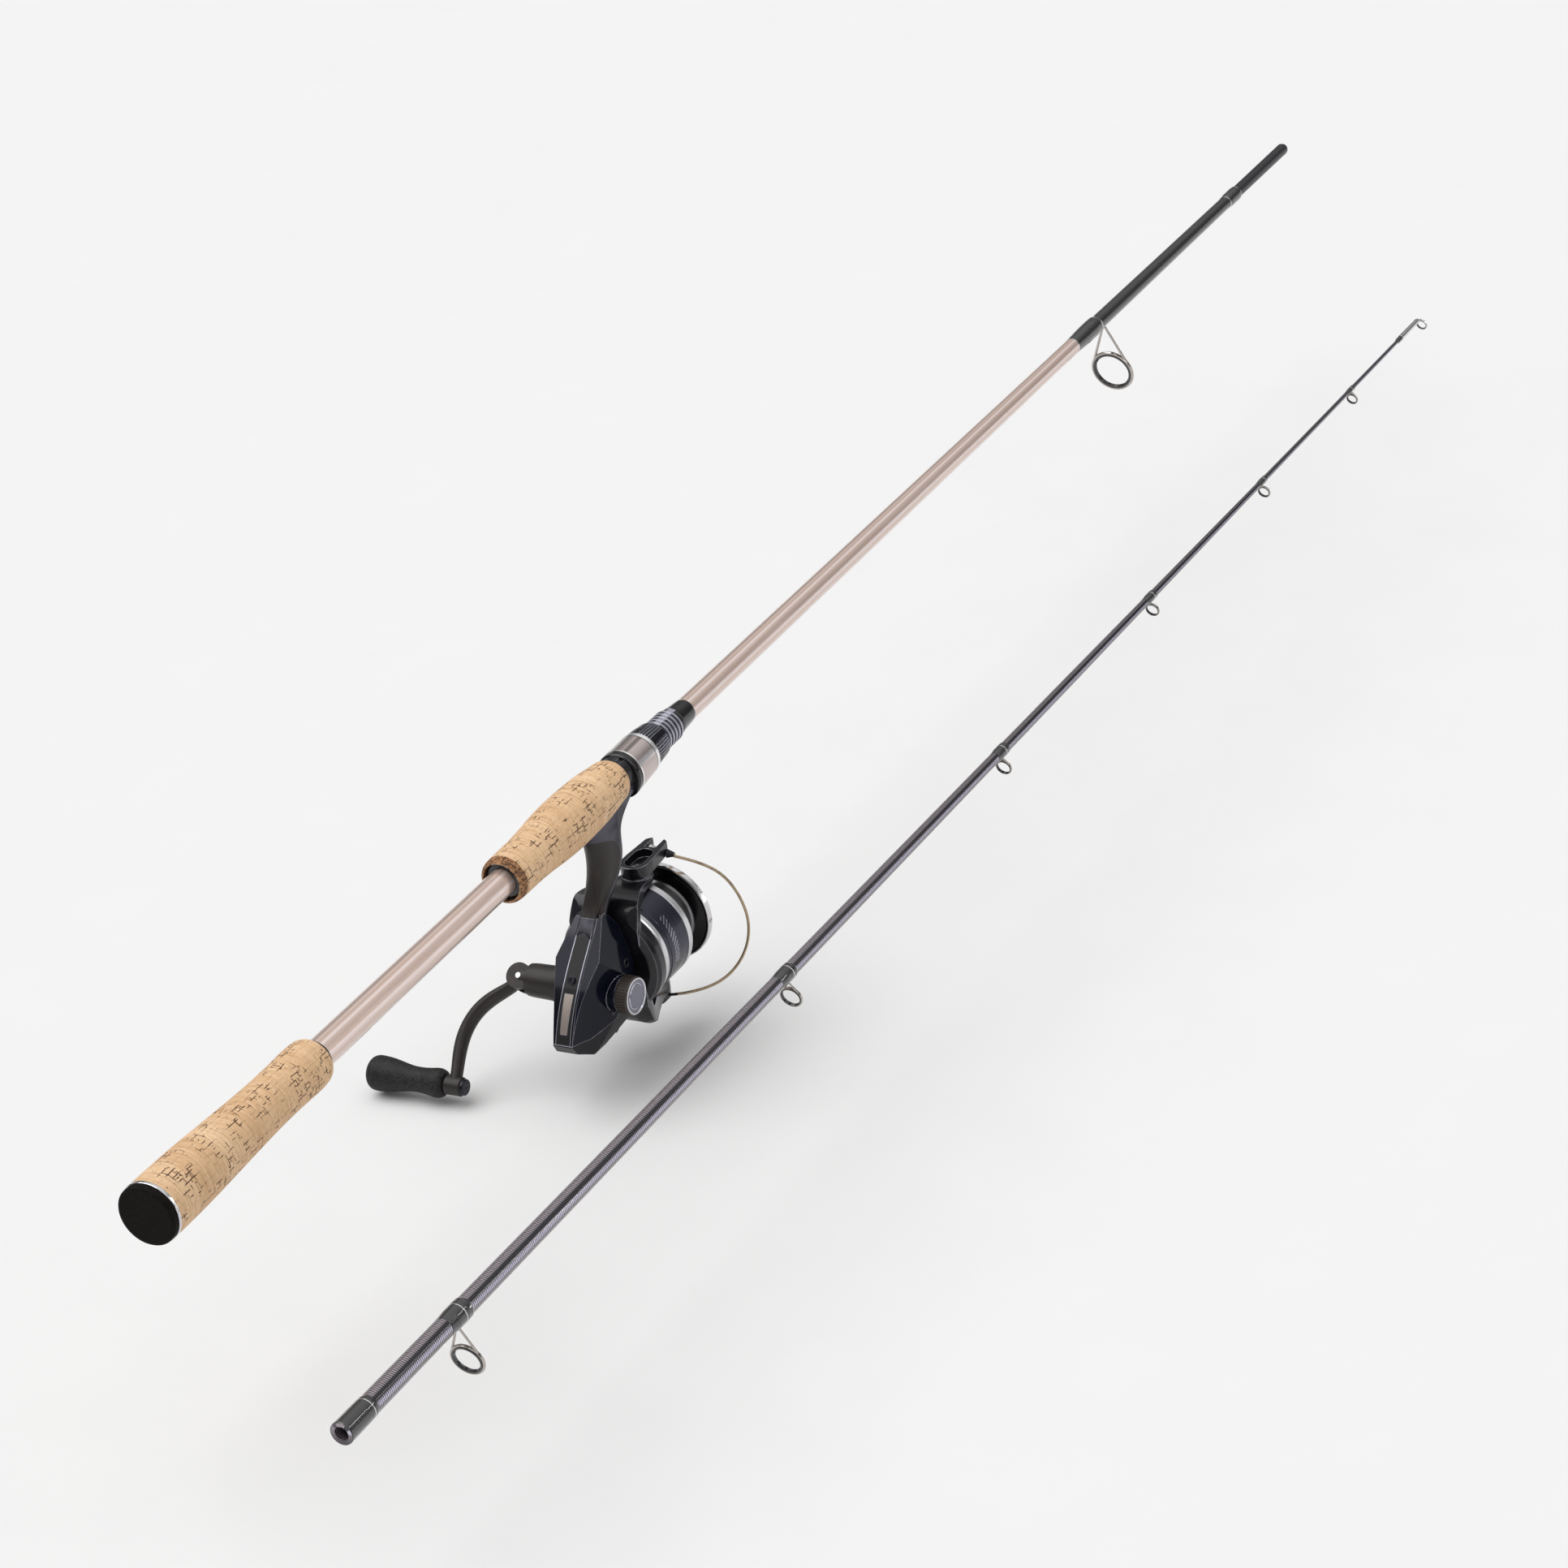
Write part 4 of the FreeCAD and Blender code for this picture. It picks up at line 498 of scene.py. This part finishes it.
def seat_finish():
    """Satin black barrel, with a painted highlight on the crests of the thread and along the sharp edges."""
    r = Recipe("seat_finish")
    x, _, radius = r.round_the_axis(ROD_AXIS)
    where, _ = r.place()
    fine = r.noise(where, 2.6, 4.0, 0.65)
    colour = r.mix(r.ramp(fine, 0.35, 0.7), *SATIN)
    _, nut_front = span_mm("seat_nut")
    # painted highlight: the thread's crests and the sharp edges are coloured bright
    crest = r.times(r.ramp(radius, 7.5, 7.95), r.ramp(x, nut_front - 1.0, nut_front))
    soft, edge = r.rounded(0.3)
    painted_highlight = r.highest(r.times(crest, 0.75), edge)
    colour = r.mix(painted_highlight, colour, RIDGE_PAINTED_HIGHLIGHT)
    r.set(Base_Color=colour, Metallic=r.times(painted_highlight, 0.9), Roughness=r.spread(fine, 0.2, 0.34))
    r.set(Normal=r.bump(fine, 0.12, 0.12, soft))
    r.set(Coat_Weight=0.3, Coat_Roughness=0.05, Specular_IOR_Level=0.3)
    return r.material


def nut_finish():
    """Gunmetal nut, with a painted highlight along the ridges between the grooves of its six groups and
    along its sharp edges.
    """
    r = Recipe("seat_nut_finish")
    _, angle, _ = r.round_the_axis(ROD_AXIS)
    where, _ = r.place()
    fine = r.noise(where, 2.6, 4.0, 0.65)
    colour = r.mix(r.ramp(fine, 0.35, 0.7), *GUNMETAL)
    sixth = r.math("FRACT", r.plus(r.times(angle, 3.0 / math.pi), 0.572))
    # painted highlight along the ridge beside each groove and along the sharp edges
    groove = r.math("FRACT", r.times(sixth, 60.0 / 8.6))
    ridge = r.times(r.band(groove, 0.76, 0.97, 0.04), r.inverse(r.ramp(sixth, 0.70, 0.72)))
    soft, edge = r.rounded(0.3)
    painted_highlight = r.highest(r.times(ridge, 0.7), edge)
    colour = r.mix(painted_highlight, colour, RIDGE_PAINTED_HIGHLIGHT)
    r.set(Base_Color=colour, Metallic=0.85, Roughness=r.spread(fine, 0.2, 0.34))
    r.set(Normal=r.bump(fine, 0.12, 0.12, soft))
    return r.material


def matt_panel():
    """Matt brown-black, mottled with warm patches, like rubbed soft-touch paint."""
    r = Recipe("matt_brown_black")
    where, _ = r.place()
    fine = r.noise(where, 3.5, 4.0, 0.7)
    patch = r.noise(where, 0.16, 4.0, 0.6)
    colour = r.mix(fine, (0.010, 0.0085, 0.008), (0.040, 0.034, 0.032))
    colour = r.mix(r.times(r.ramp(patch, 0.52, 0.75), 0.5), colour, (0.06, 0.032, 0.022))
    r.set(Base_Color=colour, Metallic=0.2, Roughness=r.spread(fine, 0.32, 0.5))
    r.set(Normal=r.bump(fine, 0.2, 0.12), Specular_IOR_Level=0.4)
    return r.material


def ceramic():
    """Polished dark ceramic of the line rings."""
    r = Recipe("ceramic")
    where, _ = r.place()
    speck = r.noise(where, 7.0, 2.0)
    colour = r.mix(speck, (0.012, 0.011, 0.012), (0.03, 0.027, 0.03))
    r.set(Base_Color=colour, Roughness=r.spread(speck, 0.1, 0.2), Coat_Weight=0.6, Coat_Roughness=0.03)
    r.set(Normal=r.bump(speck, 0.03, 0.03))
    return r.material


def guide_trims():
    """The bright trim turns on the tip's wraps, 0.3 of the way along each guide, from the tip's start."""
    trims = []
    for name in GUIDES:
        start, end = span_mm(name)
        trim = start + 0.3 * (end - start) - TIP_START.x / MM
        trims.append((trim - 0.2, trim + 0.25))
    return trims


# ---------------------------------------------------------------- give every node its finish
def rod_finishes():
    stripper_start, stripper_end = span_mm("stripper_wrap")
    ferrule, _ = span_mm("ferrule_wrap")
    fore, _ = span_mm("fore_grip")
    stripper_trims = [(stripper_end - 1.2, stripper_end - 0.8), (stripper_start, stripper_start + 0.6)]
    return {
        cork("cork"): ["rear_grip"],
        cork("cork_with_burl", (fore, fore + BURL_LENGTH)): ["fore_grip"],
        champagne_paint(): ["butt_blank"],
        ribbed_tape_paint(): ["tip_blank"],
        # the edge colour of black_gloss is a painted highlight along the sharp edges
        moulded("black_gloss", ((0.003, 0.003, 0.0035), (0.009, 0.009, 0.011)), (0.1, 0.2), coat=0.7,
                edge=(0.30, 0.30, 0.34), edge_mm=0.4): [
            "rear_grip_check", "fore_grip_collar", "seat_check", "seat_hood"],
        moulded("cap_rubber", ((0.0025, 0.002, 0.0018), (0.011, 0.008, 0.0065)), (0.55, 0.8), grain=0.7,
                depth=0.2, shine=0.1): ["butt_cap"],
        seat_finish(): ["reel_seat"],
        nut_finish(): ["seat_nut"],
        hood_band_finish(): ["hood_band"],
        metal("guide_frame_metal", (0.52, 0.48, 0.45), (0.12, 0.26)): ["stripper_frame", *GUIDES],
        ceramic(): ["stripper_ring", "guide_rings", "tip_top_ring"],
        thread_wrap("guide_wrap_gloss", TIP_START, guide_trims()): ["guide_wraps"],
        thread_wrap("stripper_wrap_gloss", ROD_AXIS, stripper_trims): ["stripper_wrap"],
        thread_wrap("ferrule_wrap_gloss", ROD_AXIS, [(ferrule + 1.5, ferrule + 2.0)]): ["ferrule_wrap"],
        thread_wrap("socket_wrap_gloss", TIP_START, [(17.6, 18.1)]): ["socket_wrap"],
        metal("spigot_graphite", (0.10, 0.098, 0.105), (0.3, 0.5)): ["ferrule_spigot"],
        metal("bright_metal", SILVER, (0.08, 0.2)): [
            "butt_cap_ring", "hook_keeper", "tip_top", "crank_pin", "line_roller", "spool_lip_ring"],
    }


def reel_finishes():
    return {
        reel_body_paint(): ["reel_body"],
        # each edge colour below is a painted highlight along the sharp edges
        moulded("side_cover_paint", ((0.002, 0.0025, 0.006), (0.007, 0.009, 0.022)), (0.08, 0.16),
                depth=0.02, coat=0.2, metallic=0.1, shine=0.1, edge=EDGE_PAINTED_HIGHLIGHT, edge_mm=0.6): ["side_cover"],
        moulded("rear_cover_grey", ((0.008, 0.008, 0.010), (0.026, 0.026, 0.031)), (0.3, 0.45),
                metallic=0.3, edge=EDGE_PAINTED_HIGHLIGHT, edge_mm=0.5): ["rear_cover"],
        moulded("rotor_black", ((0.005, 0.005, 0.0065), (0.020, 0.020, 0.026)), (0.22, 0.38), coat=0.4,
                metallic=0.3, edge=EDGE_PAINTED_HIGHLIGHT, edge_mm=0.7): ["rotor", "bail_arm", "bail_lever"],
        moulded("black_satin", SATIN, (0.2, 0.34), coat=0.3, edge=EDGE_PAINTED_HIGHLIGHT_PALE, edge_mm=0.3): [
            "drag_knob", "oscillation_slider"],
        moulded("dark_metal", GUNMETAL, (0.2, 0.34), metallic=0.8, edge=EDGE_PAINTED_HIGHLIGHT_PALE, edge_mm=0.3): [
            "knob_spindle", "anti_reverse_lever"],
        moulded("knob_rubber", ((0.004, 0.004, 0.004), (0.034, 0.033, 0.033)), (0.45, 0.7), grain=0.9,
                depth=0.5): ["handle_knob"],
        matt_panel(): ["stem_panel", "handle_collar", "crank_arm"],
        metal("inlay_speckled", (0.42, 0.36, 0.33), (0.35, 0.55), brushed=(1.0, 1.0, 1.0), bump=0.35): [
            "spine_inlay"],
        knurled_cap_paint(): ["handle_cap"],
        spool_paint(): ["spool"],
        bail_wire_finish(): ["bail_wire"],
        metal("screw_black", (0.06, 0.06, 0.07), (0.2, 0.35)): ["body_screws"],
        metal("steel", (0.5, 0.5, 0.52), (0.2, 0.38)): [
            "handle_bearings", "rotor_nut", "rotor_bearing", "main_shaft", "drag_washers"],
        metal("brass", (0.72, 0.5, 0.22), (0.22, 0.4)): ["drive_gear", "oscillation_gear", "pinion_gear"],
    }


def dress_all():
    for material, names in {**rod_finishes(), **reel_finishes()}.items():
        for name in names:
            mesh = nodes[name].data
            mesh.materials.clear()
            mesh.materials.append(material)


# ---------------------------------------------------------------- studio
FLOOR_REACH = 14.0
FLOOR_DROP = 0.002
KEY_FROM = Vector((-0.215, 0.436, 0.961))
KEY_STRENGTH = 1.5
KEY_SOFTNESS = 60.0
STRIP_POWER = 3.0
# each strip's name, place from the spool, and size
STRIPS = (
    ("strip_left", Vector((-1.4, -1.6, 1.0)), (0.05, 2.2)),
    ("strip_top", Vector((0.42, -1.46, 1.26)), (0.10, 1.4)),
    ("strip_right", Vector((1.2, -1.6, 0.5)), (0.05, 1.8)),
)
# the sky's brightness from straight down, 0, to straight up, 1
SKY = ((0.0, 0.7), (0.5, 0.35), (0.6, 0.16), (0.72, 0.30), (0.85, 1.0), (1.0, 1.25))
SKY_STRENGTH = 0.82


def add(name, data):
    made = bpy.data.objects.new(name, data)
    bpy.context.scene.collection.objects.link(made)
    return made


def floor():
    ground = cad_box[0][2] - FLOOR_DROP
    signs = ((-1, -1), (1, -1), (1, 1), (-1, 1))
    mesh = bpy.data.meshes.new("floor")
    mesh.from_pydata([(x * FLOOR_REACH, y * FLOOR_REACH, ground) for x, y in signs], [], [(0, 1, 2, 3)])
    paper = Recipe("paper")
    where, _ = paper.place()
    tone = paper.mix(paper.noise(where, 0.02, 2.0), (0.81, 0.81, 0.81), (0.84, 0.84, 0.84))
    paper.set(Base_Color=tone, Roughness=0.9)
    mesh.materials.append(paper.material)
    add("floor", mesh)


def lights():
    """A wide soft key, and narrow strips that light only the rod and reel, for bright lines on the gloss."""
    sun = bpy.data.lights.new("key", "SUN")
    sun.energy = KEY_STRENGTH
    sun.angle = math.radians(KEY_SOFTNESS)
    add("key", sun).rotation_euler = (-KEY_FROM).to_track_quat("-Z", "Y").to_euler()

    lit = bpy.data.collections.new("strip_lit")
    for node in nodes.values():
        lit.objects.link(node)
    for name, offset, size in STRIPS:
        strip = bpy.data.lights.new(name, "AREA")
        strip.shape = "RECTANGLE"
        strip.size, strip.size_y = size
        strip.energy = STRIP_POWER
        made = add(name, strip)
        made.location = middle("spool") + offset
        made.rotation_euler = (-offset).to_track_quat("-Z", "Y").to_euler()
        made.light_linking.receiver_collection = lit


def sky():
    world = bpy.data.worlds.new("studio")
    bpy.context.scene.world = world
    world.use_nodes = True
    tree = world.node_tree
    background = tree.nodes["Background"]
    direction = tree.nodes.new("ShaderNodeTexCoord")
    split = tree.nodes.new("ShaderNodeSeparateXYZ")
    lift = tree.nodes.new("ShaderNodeMapRange")
    ramp = tree.nodes.new("ShaderNodeValToRGB")
    lift.inputs["From Min"].default_value = -1.0
    tree.links.new(direction.outputs["Generated"], split.inputs[0])
    tree.links.new(split.outputs["Z"], lift.inputs["Value"])
    tree.links.new(lift.outputs[0], ramp.inputs[0])
    tree.links.new(ramp.outputs[0], background.inputs["Color"])
    elements = ramp.color_ramp.elements
    for element, (_, level) in zip(elements, (SKY[0], SKY[-1])):
        element.color = (level, level, level, 1.0)
    for position, level in SKY[1:-1]:
        elements.new(position).color = (level, level, level, 1.0)
    background.inputs["Strength"].default_value = SKY_STRENGTH


# ---------------------------------------------------------------- camera
CAMERA_PLACE = Vector((-1.68228, -1.37730, 1.27413))
CAMERA_RIGHT = Vector((0.46762, -0.87533, -0.12302))
CAMERA_UP = Vector((0.46016, 0.12224, 0.87938))
CAMERA_LENS = 139.75


def camera():
    """The camera looks down along the rod from behind the handle, and leans so that the rod rises."""
    data = bpy.data.cameras.new("camera")
    data.lens = CAMERA_LENS
    data.sensor_width = 36.0
    data.clip_start = 0.05
    data.clip_end = 60.0
    back = CAMERA_RIGHT.cross(CAMERA_UP).normalized()
    turn = Matrix((CAMERA_RIGHT, CAMERA_UP, back)).transposed()
    made = add("camera", data)
    made.matrix_world = Matrix.Translation(CAMERA_PLACE) @ turn.to_4x4()
    bpy.context.scene.camera = made


dress_all()
floor()
lights()
sky()
camera()
bpy.context.scene.view_settings.view_transform = "Standard"
